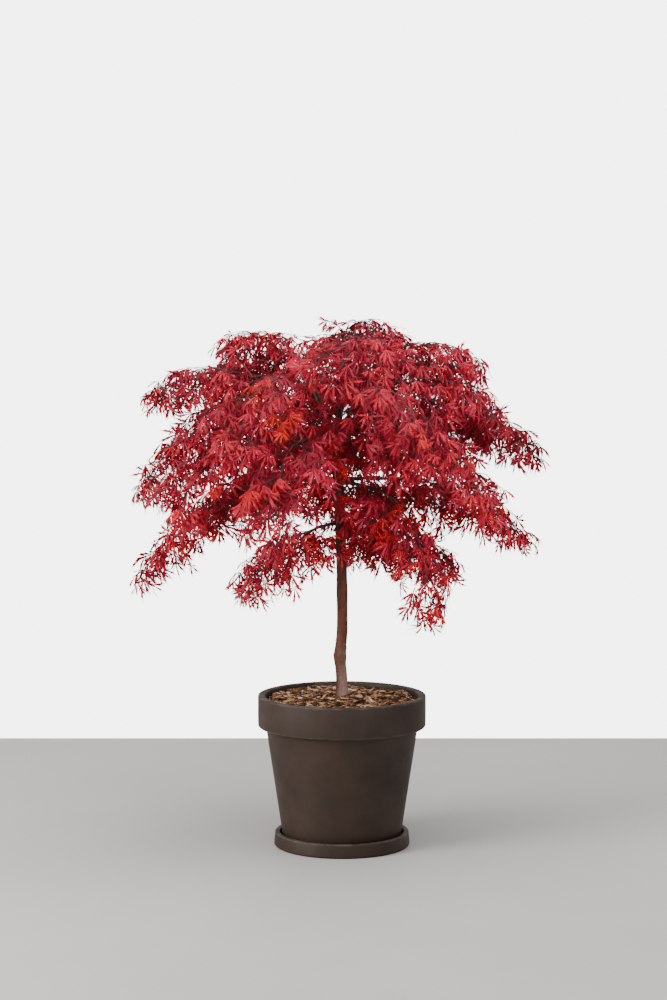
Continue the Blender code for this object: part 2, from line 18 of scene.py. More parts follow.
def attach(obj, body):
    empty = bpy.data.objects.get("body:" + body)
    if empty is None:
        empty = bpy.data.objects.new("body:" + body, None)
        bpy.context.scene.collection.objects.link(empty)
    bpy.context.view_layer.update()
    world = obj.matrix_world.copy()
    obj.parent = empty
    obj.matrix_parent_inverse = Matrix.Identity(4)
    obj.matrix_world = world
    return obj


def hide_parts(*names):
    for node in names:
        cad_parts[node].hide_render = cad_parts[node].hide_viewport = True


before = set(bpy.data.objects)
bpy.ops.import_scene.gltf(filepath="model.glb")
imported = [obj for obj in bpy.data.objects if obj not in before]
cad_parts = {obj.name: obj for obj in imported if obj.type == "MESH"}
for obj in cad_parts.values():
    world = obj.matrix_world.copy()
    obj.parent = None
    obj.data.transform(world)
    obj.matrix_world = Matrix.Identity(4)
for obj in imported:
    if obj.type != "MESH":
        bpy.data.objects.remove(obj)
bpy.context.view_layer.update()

UP = Vector((0.0, 0.0, 1.0))

# ---- sizes, as in the frame

SAUCER_RADIUS = 0.187
SAUCER_LIP_RADIUS = 0.184
SAUCER_HEIGHT = 0.038
SAUCER_WALL = 0.014
SAUCER_FLOOR = 0.010
POT_FOOT_RADIUS = 0.1605
POT_BODY_RADIUS = 0.209
POT_WALL = 0.009
POT_FLOOR = 0.012
POT_GAP = 0.0003  # between the pot's foot and the saucer
RIM_RADIUS = 0.231
RIM_DEPTH = 0.086
RIM_WALL = 0.020
RIM_TOP = 0.417
MULCH_DEPTH = 0.026
MULCH_EDGE = 0.404
GROUND = 0.413
STEM_TOP = 1.150
STEM_RADIUS = 0.0155
STEM_TAPER = 0.0015
STEM_LEAN = -0.018
STEM_BOW = 0.008
FLARE = 0.005  # a little less than the frame's, whose foot has few sides
FLARE_HEIGHT = 0.016
GRAFT_HEIGHT = 0.523
GRAFT_SWELL = 0.0025
GRAFT_SPREAD = 0.018
GRAFT_KINK = -0.006
KINK_SPREAD = 0.045
HEAD_HEIGHT = 1.085
HEAD_SWELL = 0.004
HEAD_SPREAD = 0.060
BOUGH_ROOT_RADIUS = 0.0058
BOUGH_END_RADIUS = 0.0034
BOUGH_THINNING = 1.2
BOUGH_SWAY = 7.0
ARCH_START = 0.34
ARCH_END = 0.74
CREST_COVER = 0.020  # the foliage stands this much above the arch
TIP_OVERHANG = 0.055  # the furthest and the lowest leaf reach this far past the arch's tip

# Each row: name, heading in degrees (0 is +X, 90 is +Y), height of the root on the stem, furthest
# reach of its foliage from the pot's axis, height of its crest, height of its lowest leaf, the
# share of the arch that is bare, and how wide its twigs spread, as a share of the widest.
BOUGHS = (
    ("crest_mid", 62, 1.141, 0.21, 1.443, 1.320, 0.32, 0.85),
    ("crest_left", 174, 1.094, 0.39, 1.408, 1.250, 0.46, 0.75),
    ("crest_right", 4, 1.114, 0.42, 1.385, 1.260, 0.46, 0.60),
    ("crest_front", 278, 1.088, 0.34, 1.405, 1.230, 0.26, 1.00),
    ("crest_back", 72, 1.090, 0.36, 1.405, 1.230, 0.26, 1.00),
    ("upper_left", 183, 1.062, 0.56, 1.315, 1.180, 0.29, 0.85),
    ("upper_front_left", 232, 1.080, 0.50, 1.300, 1.030, 0.29, 1.00),
    ("upper_front_right", 304, 1.060, 0.49, 1.290, 1.030, 0.29, 1.00),
    ("upper_right", 350, 1.086, 0.48, 1.335, 1.080, 0.29, 0.90),
    ("upper_back_right", 38, 1.062, 0.50, 1.290, 1.050, 0.29, 1.00),
    ("upper_back", 96, 1.070, 0.51, 1.290, 0.960, 0.29, 1.00),
    ("upper_back_left", 138, 1.058, 0.51, 1.365, 1.090, 0.29, 1.00),
    ("middle_left", 172, 1.034, 0.62, 1.220, 0.900, 0.36, 0.85),
    ("middle_front_left", 212, 1.048, 0.57, 1.175, 0.860, 0.36, 0.90),
    ("middle_front", 250, 1.032, 0.54, 1.145, 0.800, 0.36, 0.80),
    ("middle_front_right", 322, 1.046, 0.56, 1.165, 0.880, 0.36, 0.90),
    ("middle_right", 5, 1.040, 0.59, 1.200, 1.020, 0.36, 0.75),
    ("middle_back_right", 60, 1.030, 0.56, 1.160, 0.850, 0.36, 0.90),
    ("middle_back", 116, 1.042, 0.56, 1.150, 0.830, 0.36, 0.90),
    ("lower_left", 187, 1.005, 0.61, 1.000, 0.685, 0.42, 0.50),
    ("lower_front_right", 305, 1.000, 0.46, 0.980, 0.600, 0.36, 0.50),
    ("lower_right", 352, 1.010, 0.56, 1.020, 0.800, 0.40, 0.50),
    ("lower_back", 84, 0.995, 0.50, 0.990, 0.700, 0.30, 0.60),
    ("lower_back_left", 146, 1.007, 0.52, 1.030, 0.840, 0.40, 0.60),
    ("low_left", 206, 0.895, 0.35, 0.870, 0.660, 0.24, 0.45),
    ("low_right", 335, 0.920, 0.38, 0.900, 0.730, 0.26, 0.45),
)

# ---- camera, floor and light

CAMERA_PLACE = (-0.023, -6.5, 1.515)
CAMERA_PITCH = math.radians(4.945967)  # below level
FOCAL_LENGTH = 86.1
SENSOR_WIDTH = 36.0
FLOOR_HALF = 1.57
FLOOR_TONES = ((0.42, 0.41, 0.40), (0.53, 0.52, 0.51))
SKY_COLOUR = (1.0, 0.99, 0.97, 1.0)
SKY_LIGHT = 0.68  # the sky's strength as a light
SKY_SEEN = 5.5  # and as the backdrop
# Each row: name, place, target, size, power, colour, spread in degrees
LAMPS = (
    ("key", (-3.9, -2.3, 2.2), (0.0, 0.0, 0.6), 2.2, 320.0, (1.0, 0.965, 0.92), 180.0),
    ("fill", (2.8, -3.6, 1.8), (0.0, 0.0, 0.8), 2.4, 4.0, (0.94, 0.97, 1.0), 180.0),
    ("overhead", (0.5, -0.7, 4.4), (0.0, 0.0, 0.8), 3.4, 180.0, (1.0, 0.99, 0.98), 180.0),
    ("crown", (1.9, -3.8, 1.95), (0.05, 0.0, 1.18), 1.2, 4.6, (1.0, 0.98, 0.97), 16.0),
)


def set_camera():
    """The camera in front of the plant, a little above it."""
    lens = bpy.data.cameras.new("camera")
    lens.lens = FOCAL_LENGTH
    lens.sensor_width = SENSOR_WIDTH
    camera = bpy.data.objects.new("camera", lens)
    camera.location = CAMERA_PLACE
    camera.rotation_euler = (math.pi / 2 - CAMERA_PITCH, 0.0, 0.0)
    bpy.context.scene.collection.objects.link(camera)
    bpy.context.scene.camera = camera


def lay_floor():
    """The plain floor that the saucer stands on."""
    floor = start_piece("floor", bpy.ops.mesh.primitive_plane_add, size=2 * FLOOR_HALF)
    floor.data.materials.append(finish_floor())


def add_lamp(name, place, target, size, power, colour, spread):
    """A square soft box that looks at a target."""
    lamp = bpy.data.lights.new(name, "AREA")
    lamp.size = size
    lamp.energy = power
    lamp.color = colour
    lamp.spread = math.radians(spread)
    held = bpy.data.objects.new(name, lamp)
    held.location = place
    held.rotation_euler = (Vector(target) - Vector(place)).to_track_quat("-Z", "Y").to_euler()
    bpy.context.scene.collection.objects.link(held)


def set_light():
    """The sky and the lamps."""
    world = bpy.data.worlds.new("studio")
    world.use_nodes = True
    tree = world.node_tree
    sky = tree.nodes["Background"]
    sky.inputs["Color"].default_value = SKY_COLOUR
    seen = tree.nodes.new("ShaderNodeLightPath").outputs["Is Camera Ray"]
    tree.links.new(add_ramp(tree, seen, 0.0, 1.0, SKY_LIGHT, SKY_SEEN), sky.inputs["Strength"])
    bpy.context.scene.world = world
    for row in LAMPS:
        add_lamp(*row)


# ---- shader node groups


def new_group(name, values, outputs):
    """An empty shader group: a Place and the named values go in, the named values come out."""
    group = bpy.data.node_groups.new(name, "ShaderNodeTree")
    group.interface.new_socket(name="Place", in_out="INPUT", socket_type="NodeSocketVector")
    for label in values:
        group.interface.new_socket(name=label, in_out="INPUT", socket_type="NodeSocketFloat")
    for label in outputs:
        group.interface.new_socket(name=label, in_out="OUTPUT", socket_type="NodeSocketFloat")
    start = group.nodes.new("NodeGroupInput")
    end = group.nodes.new("NodeGroupOutput")
    return group, start.outputs, end.inputs


def add_math(tree, operation, a, b=None, clamp=False):
    """A sum on two sockets or numbers."""
    node = tree.nodes.new("ShaderNodeMath")
    node.operation = operation
    node.use_clamp = clamp
    for socket, value in zip(node.inputs, (a, b)):
        if value is None:
            continue
        if isinstance(value, (int, float)):
            socket.default_value = value
        else:
            tree.links.new(value, socket)
    return node.outputs[0]


def add_mix(tree, share, low, high):
    """A colour mix. share is a socket or a number, low and high are sockets or colours."""
    node = tree.nodes.new("ShaderNodeMix")
    node.data_type = "RGBA"
    for socket, value in ((node.inputs[0], share), (node.inputs[6], low), (node.inputs[7], high)):
        if isinstance(value, float):
            socket.default_value = value
        elif isinstance(value, tuple):
            socket.default_value = (*value, 1.0)
        else:
            tree.links.new(value, socket)
    return node.outputs[2]


def add_ramp(tree, value, low, high, out_low=0.0, out_high=1.0):
    """value from low to high becomes out_low to out_high, held at both ends."""
    node = tree.nodes.new("ShaderNodeMapRange")
    node.inputs["From Min"].default_value = low
    node.inputs["From Max"].default_value = high
    node.inputs["To Min"].default_value = out_low
    node.inputs["To Max"].default_value = out_high
    tree.links.new(value, node.inputs["Value"])
    return node.outputs["Result"]


def add_noise(tree, place, scale, detail, roughness, distortion=0.0):
    """A cloudy pattern of 0 to 1."""
    node = tree.nodes.new("ShaderNodeTexNoise")
    node.inputs["Detail"].default_value = detail
    node.inputs["Roughness"].default_value = roughness
    node.inputs["Distortion"].default_value = distortion
    tree.links.new(place, node.inputs["Vector"])
    tree.links.new(scale, node.inputs["Scale"])
    return node.outputs["Fac"]


def add_stretch(tree, place, stretch):
    """The place with each axis scaled, for grain that runs one way."""
    node = tree.nodes.new("ShaderNodeMapping")
    node.inputs["Scale"].default_value = stretch
    tree.links.new(place, node.inputs["Vector"])
    return node.outputs["Vector"]


def build_mottle():
    """Cloudy patches broken by fine grain: a mask of 0 to 1 and a height for bumps."""
    values = ("Patch Scale", "Grain Scale", "Contrast")
    group, given, result = new_group("mottle", values, ("Mask", "Height"))
    patches = add_noise(group, given["Place"], given["Patch Scale"], detail=5.0, roughness=0.6)
    grain = add_noise(group, given["Place"], given["Grain Scale"], detail=3.0, roughness=0.7)
    centred = add_math(group, "SUBTRACT", patches, 0.5)
    strong = add_math(group, "MULTIPLY", centred, given["Contrast"])
    fine = add_math(group, "MULTIPLY", add_math(group, "SUBTRACT", grain, 0.5), 0.5)
    both = add_math(group, "ADD", strong, fine)
    group.links.new(add_math(group, "ADD", both, 0.5, clamp=True), result["Mask"])
    group.links.new(grain, result["Height"])
    return group


def build_band():
    """A soft, broken band round a height, for paler lips, partly wear and partly painted highlight,
    and for dusty ledges.
    """
    values = ("Level", "Width", "Break Scale")
    group, given, result = new_group("band", values, ("Mask",))
    apart = group.nodes.new("ShaderNodeSeparateXYZ")
    group.links.new(given["Place"], apart.inputs[0])
    away = add_math(group, "SUBTRACT", apart.outputs["Z"], given["Level"])
    near = add_math(group, "DIVIDE", add_math(group, "ABSOLUTE", away), given["Width"])
    soft = add_math(group, "SUBTRACT", 1.0, near, clamp=True)
    broken = add_noise(group, given["Place"], given["Break Scale"], detail=4.0, roughness=0.65)
    share = add_ramp(group, broken, 0.35, 0.65)
    group.links.new(add_math(group, "MULTIPLY", soft, share), result["Mask"])
    return group


def build_fibre():
    """Long fibres along an axis, from a stretched place: a mask and a height."""
    group, given, result = new_group("fibre", ("Scale",), ("Mask", "Height"))
    strands = add_noise(
        group, given["Place"], given["Scale"], detail=5.0, roughness=0.6, distortion=0.4
    )
    group.links.new(add_ramp(group, strands, 0.3, 0.7), result["Mask"])
    group.links.new(strands, result["Height"])
    return group


MOTTLE = build_mottle()
BAND = build_band()
FIBRE = build_fibre()


def new_material(name, roughness, specular):
    """A material with one Principled shader, and its object coordinates."""
    made = bpy.data.materials.new(name)
    made.use_nodes = True
    tree = made.node_tree
    shader = tree.nodes["Principled BSDF"]
    shader.inputs["Roughness"].default_value = roughness
    shader.inputs["Specular IOR Level"].default_value = specular
    place = tree.nodes.new("ShaderNodeTexCoord").outputs["Object"]
    return made, tree, shader, place


def use_group(tree, group, place, **values):
    """A placed group with its own values. Underscores stand for spaces."""
    node = tree.nodes.new("ShaderNodeGroup")
    node.node_tree = group
    tree.links.new(place, node.inputs["Place"])
    for label, value in values.items():
        node.inputs[label.replace("_", " ")].default_value = value
    return node.outputs


def set_skin(tree, shader, colour, roughness=None):
    """Feeds the shader's colour and, if given, its roughness."""
    tree.links.new(colour, shader.inputs["Base Color"])
    if roughness:
        tree.links.new(roughness, shader.inputs["Roughness"])


def add_bump(tree, shader, height, distance, strength):
    """A bump that feeds the shader's normal."""
    bump = tree.nodes.new("ShaderNodeBump")
    bump.inputs["Strength"].default_value = strength
    bump.inputs["Distance"].default_value = distance
    tree.links.new(height, bump.inputs["Height"])
    tree.links.new(bump.outputs["Normal"], shader.inputs["Normal"])


POTTERY_TONES = ((0.0145, 0.0068, 0.0034), (0.0320, 0.0163, 0.0090))
CRUMB_TONES = ((0.008, 0.003, 0.001), (0.050, 0.021, 0.009))
COMPOST_TONES = ((0.010, 0.007, 0.005), (0.040, 0.026, 0.018))
SHRED_CONTRAST = 2.4
# The trunk's bark, dark and pale: its foot in painted shade and in painted sunlight, and higher up
FOOT_SHADED = ((0.036, 0.010, 0.006), (0.084, 0.028, 0.018))
FOOT_SUNNED = ((0.150, 0.080, 0.066), (0.380, 0.245, 0.210))
UPPER_BARK = ((0.050, 0.012, 0.005), (0.122, 0.035, 0.016))
# Painted shade under the crown: its tone, and how far the bark turns to it
CROWN_SHADE_TONE = (0.030, 0.012, 0.010)
CROWN_SHADE_SHARE = 0.6
BARK_CRACKS = (0.028, 0.012, 0.010)
CRACK_WIDTH = 0.35
CRACK_SHARE = 0.7
BARK_STRETCH = (1.0, 1.0, 0.16)
SIDES_MEET = (-0.012, 0.007)  # where the foot turns from painted shade to painted sunlight, along X
FOOT_ENDS = (0.44, 0.57)  # the heights between which its bark gives way to the upper bark
CROWN_SHADE_HEIGHTS = (0.80, 1.05)  # and that to the bark darkened by painted shade under the crown
BOUGH_TONES = ((0.032, 0.009, 0.008), (0.105, 0.030, 0.024))
TWIG_TONES = ((0.026, 0.004, 0.006), (0.085, 0.011, 0.015))
STALK_TONES = ((0.090, 0.008, 0.014), (0.240, 0.020, 0.030))


def finish_floor():
    """A pale, plain floor with faint clouds."""
    made, tree, shader, place = new_material("pale_floor", roughness=0.55, specular=0.3)
    spots = use_group(tree, MOTTLE, place, Patch_Scale=1.6, Grain_Scale=90.0, Contrast=0.8)
    set_skin(tree, shader, add_mix(tree, spots["Mask"], *FLOOR_TONES))
    return made


def finish_pottery(name, levels):
    """Matte cast pottery, with clouded patches, fine grain and paler lips at the levels, partly
    wear and partly painted highlight.
    """
    made, tree, shader, place = new_material(name, roughness=0.6, specular=0.35)
    clouds = use_group(tree, MOTTLE, place, Patch_Scale=7.0, Grain_Scale=420.0, Contrast=2.2)
    colour = add_mix(tree, clouds["Mask"], *POTTERY_TONES)
    for level, width, tone in levels:
        # Paler bands at the lips: partly wear, partly painted highlight on the rounded edges
        wear_and_highlight = use_group(tree, BAND, place, Level=level, Width=width, Break_Scale=26.0)
        colour = add_mix(tree, wear_and_highlight["Mask"], colour, tone)
    set_skin(tree, shader, colour, add_ramp(tree, clouds["Mask"], 0.0, 1.0, 0.70, 0.50))
    add_bump(tree, shader, clouds["Height"], distance=0.0006, strength=0.5)
    return made


def finish_chips(name, dark, pale):
    """Shredded bark: fibres and weathered patches between two browns."""
    made, tree, shader, place = new_material(name, roughness=0.85, specular=0.2)
    fibres = use_group(tree, FIBRE, place, Scale=260.0)
    patches = use_group(tree, MOTTLE, place, Patch_Scale=45.0, Grain_Scale=500.0, Contrast=2.2)
    share = add_math(tree, "MULTIPLY", fibres["Mask"], patches["Mask"])
    share = add_math(tree, "MULTIPLY", share, SHRED_CONTRAST, clamp=True)
    set_skin(tree, shader, add_mix(tree, share, dark, pale))
    add_bump(tree, shader, fibres["Height"], distance=0.0012, strength=0.8)
    return made


def finish_bark():
    """Smooth reddish bark with fine cracks, greyer and more purple towards the foot, with painted
    sun and shade on the foot's two sides and painted shade under the crown.
    """
    made, tree, shader, place = new_material("stem_bark", roughness=0.7, specular=0.3)
    along = add_stretch(tree, place, BARK_STRETCH)
    fibres = use_group(tree, FIBRE, along, Scale=330.0)
    patches = use_group(tree, MOTTLE, place, Patch_Scale=38.0, Grain_Scale=600.0, Contrast=1.8)
    apart = tree.nodes.new("ShaderNodeSeparateXYZ")
    tree.links.new(place, apart.inputs[0])
    height = apart.outputs["Z"]
    # Painted light: the foot's bark is shaded on the -X side and sunlit on the +X side.
    shaded = add_mix(tree, patches["Mask"], *FOOT_SHADED)
    sunned = add_mix(tree, patches["Mask"], *FOOT_SUNNED)
    low = add_mix(tree, add_ramp(tree, apart.outputs["X"], *SIDES_MEET), shaded, sunned)
    high = add_mix(tree, patches["Mask"], *UPPER_BARK)
    colour = add_mix(tree, add_ramp(tree, height, *FOOT_ENDS), low, high)
    # Painted shade: the bark darkens towards the crown, where the crown's shade falls.
    dark = add_mix(tree, CROWN_SHADE_SHARE, colour, CROWN_SHADE_TONE)
    colour = add_mix(tree, add_ramp(tree, height, *CROWN_SHADE_HEIGHTS), colour, dark)
    cracks = add_ramp(tree, fibres["Mask"], 0.0, CRACK_WIDTH, 1.0, 0.0)
    colour = add_mix(tree, add_math(tree, "MULTIPLY", cracks, CRACK_SHARE), colour, BARK_CRACKS)
    set_skin(tree, shader, colour, add_ramp(tree, patches["Mask"], 0.0, 1.0, 0.80, 0.58))
    add_bump(tree, shader, fibres["Height"], distance=0.0012, strength=0.7)
    return made


def finish_twig(name, dark, pale, roughness):
    """The skin of limbs, twigs or stalks: patches between two tones."""
    made, tree, shader, place = new_material(name, roughness, specular=0.4)
    patches = use_group(tree, MOTTLE, place, Patch_Scale=60.0, Grain_Scale=500.0, Contrast=2.0)
    set_skin(tree, shader, add_mix(tree, patches["Mask"], dark, pale))
    return made


def finish_leaf(name, colour):
    """A leaf's plain colour, with a low gloss."""
    made, _, shader, _ = new_material(name, roughness=0.46, specular=0.16)
    shader.inputs["Base Color"].default_value = (*colour, 1.0)
    return made


# ---- modelling helpers

BEVEL_SEGMENTS = 4
BEVELLED_ANGLE = math.radians(35)
SMOOTHED_ANGLE = math.radians(40)


def start_piece(name, add, **shape):
    """A new primitive, selected alone, with its place applied."""
    bpy.ops.object.select_all(action="DESELECT")
    add(**shape)
    piece = bpy.context.object
    piece.name = piece.data.name = name
    bpy.ops.object.transform_apply(location=True, rotation=True, scale=True)
    return piece


def start_disc(name, sides, radius, height):
    """A filled disc, left in edit mode with all of it selected."""
    add = bpy.ops.mesh.primitive_circle_add
    place = (0.0, 0.0, height)
    piece = start_piece(name, add, vertices=sides, radius=radius, fill_type="NGON", location=place)
    bpy.ops.object.mode_set(mode="EDIT")
    bpy.ops.mesh.select_all(action="SELECT")
    return piece


def close_solid():
    """Turns the faces outward and leaves edit mode."""
    bpy.ops.mesh.select_all(action="SELECT")
    bpy.ops.mesh.normals_make_consistent(inside=False)
    bpy.ops.object.mode_set(mode="OBJECT")


def finish_piece(piece, material, slot, *nodes):
    """Gives a piece its material and its body, and hides the frame's nodes it stands for; slot is
    not used.
    """
    piece.data.materials.clear()
    piece.data.materials.append(material)
    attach(piece, "root")
    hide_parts(*nodes)


def lathe(name, profile, sides, bevel):
    """A turned solid: a disc at the first radius and height, extruded and scaled to each next."""
    radius, height = profile[0]
    piece = start_disc(name, sides, radius, height)
    for next_radius, next_height in profile[1:]:
        bpy.ops.mesh.extrude_region_move(
            TRANSFORM_OT_translate={"value": (0.0, 0.0, next_height - height)}
        )
        scale = next_radius / radius
        bpy.ops.transform.resize(value=(scale, scale, 1.0), center_override=(0.0, 0.0, 0.0))
        radius, height = next_radius, next_height
    close_solid()
    edges = piece.modifiers.new("rounded", "BEVEL")
    edges.width = bevel
    edges.segments = BEVEL_SEGMENTS
    edges.limit_method = "ANGLE"
    edges.angle_limit = BEVELLED_ANGLE
    bpy.ops.object.modifier_apply(modifier="rounded")
    bpy.ops.object.shade_smooth_by_angle(angle=SMOOTHED_ANGLE)
    return piece


def joined_mesh(name, points, triangles):
    """One object from arrays of points and triangles."""
    mesh = bpy.data.meshes.new(name)
    mesh.vertices.add(len(points))
    mesh.vertices.foreach_set("co", np.asarray(points, np.float32).ravel())
    mesh.loops.add(3 * len(triangles))
    mesh.loops.foreach_set("vertex_index", np.asarray(triangles, np.int32).ravel())
    mesh.polygons.add(len(triangles))
    mesh.polygons.foreach_set("loop_start", np.arange(0, 3 * len(triangles), 3, dtype=np.int32))
    mesh.update(calc_edges=True)
    mesh.validate()
    piece = bpy.data.objects.new(name, mesh)
    bpy.context.scene.collection.objects.link(piece)
    return piece


class Heap:
    """Points and triangles that are gathered to become one mesh."""

    def __init__(self):
        self.points = []
        self.triangles = []
        self.count = 0

    def add(self, points, triangles):
        """Adds a shape whose triangles count its own points from 0."""
        self.points.append(np.asarray(points, np.float32))
        self.triangles.append(np.asarray(triangles, np.int64) + self.count)
        self.count += len(points)

    def make(self, name):
        """The gathered shapes as one object."""
        return joined_mesh(name, np.concatenate(self.points), np.concatenate(self.triangles))


def tube_triangles(rings, sides):
    """The triangles between rings of points, and over both ends."""
    triangles = []
    for i in range(rings - 1):
        for k in range(sides):
            a, b = i * sides + k, i * sides + (k + 1) % sides
            triangles += [(a, b, b + sides), (a, b + sides, a + sides)]
    last = (rings - 1) * sides
    for k in range(1, sides - 1):
        triangles += [(0, k + 1, k), (last, last + k, last + k + 1)]
    return triangles


def tube(path, radii, sides, relief=None):
    """Points and triangles of a round limb along a path, with closed ends.

    relief gives how far a point stands out, from its ring's centre, its direction and the radius.
    """
    points = []
    count = len(path)
    across = None
    for i, centre in enumerate(path):
        ahead = path[min(i + 1, count - 1)] - path[max(i - 1, 0)]
        ahead = ahead.normalized()
        if across is None:
            across = ahead.orthogonal().normalized()
        across = (across - ahead * across.dot(ahead)).normalized()
        over = ahead.cross(across)
        for k in range(sides):
            turn = 2 * math.pi * k / sides
            way = across * math.cos(turn) + over * math.sin(turn)
            radius = radii[i] if relief is None else radii[i] + relief(centre, way, radii[i])
            points.append(centre + way * radius)
    return points, tube_triangles(count, sides)


# ---- pot, saucer and mulch

POTTERY_SIDES = 96
POT_BEVEL = 0.0042
FOOT_CHAMFER = (0.010, 0.0015)  # in and up
WALL_RINGS = (0.06, 0.18)  # heights above the foot
RIM_FILLET = 0.030  # the rim is full width this far above its lower edge
RIM_TAPER = 0.0006
INNER_STEP = 0.020  # inside, the rim narrows to the body this far below its lower edge
UNDER_RIM = RIM_TOP - RIM_DEPTH
# Paler lips, partly wear and partly painted highlight on the rounded edges. Each row: height,
# width, colour
POT_LIP_WEAR_AND_HIGHLIGHT = (
    (RIM_TOP, 0.0055, (0.085, 0.066, 0.054)),
    (UNDER_RIM + 0.002, 0.0035, (0.060, 0.046, 0.038)),
)
SAUCER_BEVEL = 0.0024
SAUCER_CHAMFER = 0.004
# The saucer's paler lip: partly wear, partly painted highlight on its rounded edge
SAUCER_LIP_WEAR_AND_HIGHLIGHT = ((SAUCER_HEIGHT, 0.0040, (0.090, 0.072, 0.060)),)
COMPOST_BEVEL = 0.001
COMPOST_GAP = 0.003  # between its side and the pot's wall


def make_pot():
    """The pot: a tapered body under a deep rim, hollow inside."""
    foot = SAUCER_FLOOR + POT_GAP
    wall_slope = (POT_BODY_RADIUS - POT_FOOT_RADIUS) / (UNDER_RIM - foot)
    inner_low = POT_FOOT_RADIUS - POT_WALL + wall_slope * POT_FLOOR
    inside_rim = RIM_RADIUS - RIM_WALL
    chamfer, chamfer_height = FOOT_CHAMFER
    profile = (
        (POT_FOOT_RADIUS - chamfer, foot),
        (POT_FOOT_RADIUS, foot + chamfer_height),
        *((POT_FOOT_RADIUS + wall_slope * up, foot + up) for up in WALL_RINGS),
        (POT_BODY_RADIUS, UNDER_RIM),
        (RIM_RADIUS - RIM_TAPER, UNDER_RIM - 0.0002),
        (RIM_RADIUS, UNDER_RIM + RIM_FILLET),
        (RIM_RADIUS - 0.0002, RIM_TOP),
        (inside_rim, RIM_TOP - RIM_TAPER),
        (inside_rim - 0.004, UNDER_RIM + RIM_FILLET),
        (POT_BODY_RADIUS - POT_WALL, UNDER_RIM - INNER_STEP),
        (inner_low, foot + POT_FLOOR),
    )
    piece = lathe("planter", profile, POTTERY_SIDES, POT_BEVEL)
    finish_piece(piece, finish_pottery("pot_finish", POT_LIP_WEAR_AND_HIGHLIGHT), "pottery", "pot")


def make_saucer():
    """The saucer, with its wall and its sunk floor."""
    profile = (
        (SAUCER_RADIUS - SAUCER_CHAMFER, 0.0),
        (SAUCER_RADIUS, SAUCER_CHAMFER),
        (SAUCER_LIP_RADIUS, SAUCER_HEIGHT),
        (SAUCER_LIP_RADIUS - SAUCER_WALL, SAUCER_HEIGHT),
        (SAUCER_RADIUS - SAUCER_WALL - 0.002, SAUCER_FLOOR),
    )
    piece = lathe("drip_saucer", profile, POTTERY_SIDES, SAUCER_BEVEL)
    finish_piece(piece, finish_pottery("saucer_finish", SAUCER_LIP_WEAR_AND_HIGHLIGHT), "pottery", "saucer")


MULCH_RADIUS = 0.2078
BED_SIDES = 90
BED_RINGS = 22
BED_RISE = 0.020  # from the bed's lower face to its top, before it's made uneven
BED_BELOW_GROUND = 0.004
BED_FALL = 0.010  # from its middle to its edge
BED_HUMPS = (26.0, 0.0030)  # how close they lie, and how high they are
BED_CRUMBS = (140.0, 0.0012)
CHIP_SEED = 7
CHIP_SHAPES = 10
CHIP_COUNT = 1500
CHIP_RINGS = 5
CHIP_ACROSS = ((-0.5, 0.0), (-0.2, -0.5), (0.3, -0.45), (0.5, 0.05), (0.22, 0.5), (-0.25, 0.42))
CHIP_BEND = (-0.12, 0.12)
CHIP_LIFT = (-0.04, 0.11)
CHIP_ENDS = ((0.15, 0.75), (0.1, 0.5))  # how wide its torn ends are
CHIP_LENGTH = (0.020, 0.052)
CHIP_SLENDERNESS = (0.10, 0.19)
CHIP_LEAST_WIDTH = 0.0020
CHIP_THICKNESS = (0.0018, 0.0040)
CHIP_EDGE_GAP = 0.006
CHIP_LONG = 1.7  # a chip longer than this many times its room lies along the pot's wall
CHIP_LEAST_ROOM = 0.012
CHIP_LAYER = (0.0005, 0.0068)  # how high the first and, above that, the last chip lies on the bed
CHIP_PITCH = 0.16  # how far chips tip along their length, as a deviation in radians
CHIP_ROLL = 0.50  # and about it
CHIP_OVERHANG = 0.0005
TRUNK_CLEAR = 0.019
# Each row: name, dark tone, pale tone, share of the chips
CHIP_KINDS = (
    ("tan", (0.150, 0.072, 0.034), (0.520, 0.300, 0.172), 0.32),
    ("red", (0.072, 0.026, 0.010), (0.215, 0.090, 0.040), 0.28),
    ("dark", (0.012, 0.004, 0.001), (0.056, 0.022, 0.009), 0.29),
    ("grey", (0.300, 0.190, 0.118), (0.740, 0.550, 0.395), 0.11),
)


def bed_height(x, y):
    """The low mound that the chips lie on."""
    radius = math.hypot(x, y)
    mound = GROUND - BED_BELOW_GROUND - BED_FALL * (radius / MULCH_RADIUS) ** 2
    closeness, height = BED_HUMPS
    return mound + height * noise.noise(Vector((x, y, 0.0)) * closeness)


def make_bed():
    """The layer of crumbs under the chips: a disc, extruded, inset in rings and made uneven."""
    bottom = MULCH_EDGE - MULCH_DEPTH + 0.001
    piece = start_disc("mulch_bed", BED_SIDES, MULCH_RADIUS, bottom)
    bpy.ops.mesh.extrude_region_move(TRANSFORM_OT_translate={"value": (0.0, 0.0, BED_RISE)})
    for _ in range(BED_RINGS):
        bpy.ops.mesh.inset(thickness=MULCH_RADIUS / (BED_RINGS + 1), use_boundary=True)
    close_solid()
    closeness, height = BED_CRUMBS
    for vertex in piece.data.vertices:
        x, y, z = vertex.co
        if z > bottom + BED_RISE / 2:
            crumb = height * noise.noise(Vector((x, y, 1.0)) * closeness)
            vertex.co.z = bed_height(x, y) + crumb
    bpy.ops.object.shade_smooth()
    material = finish_chips("mulch_crumbs", *CRUMB_TONES)
    finish_piece(piece, material, "bark_chips", "bark_mulch")


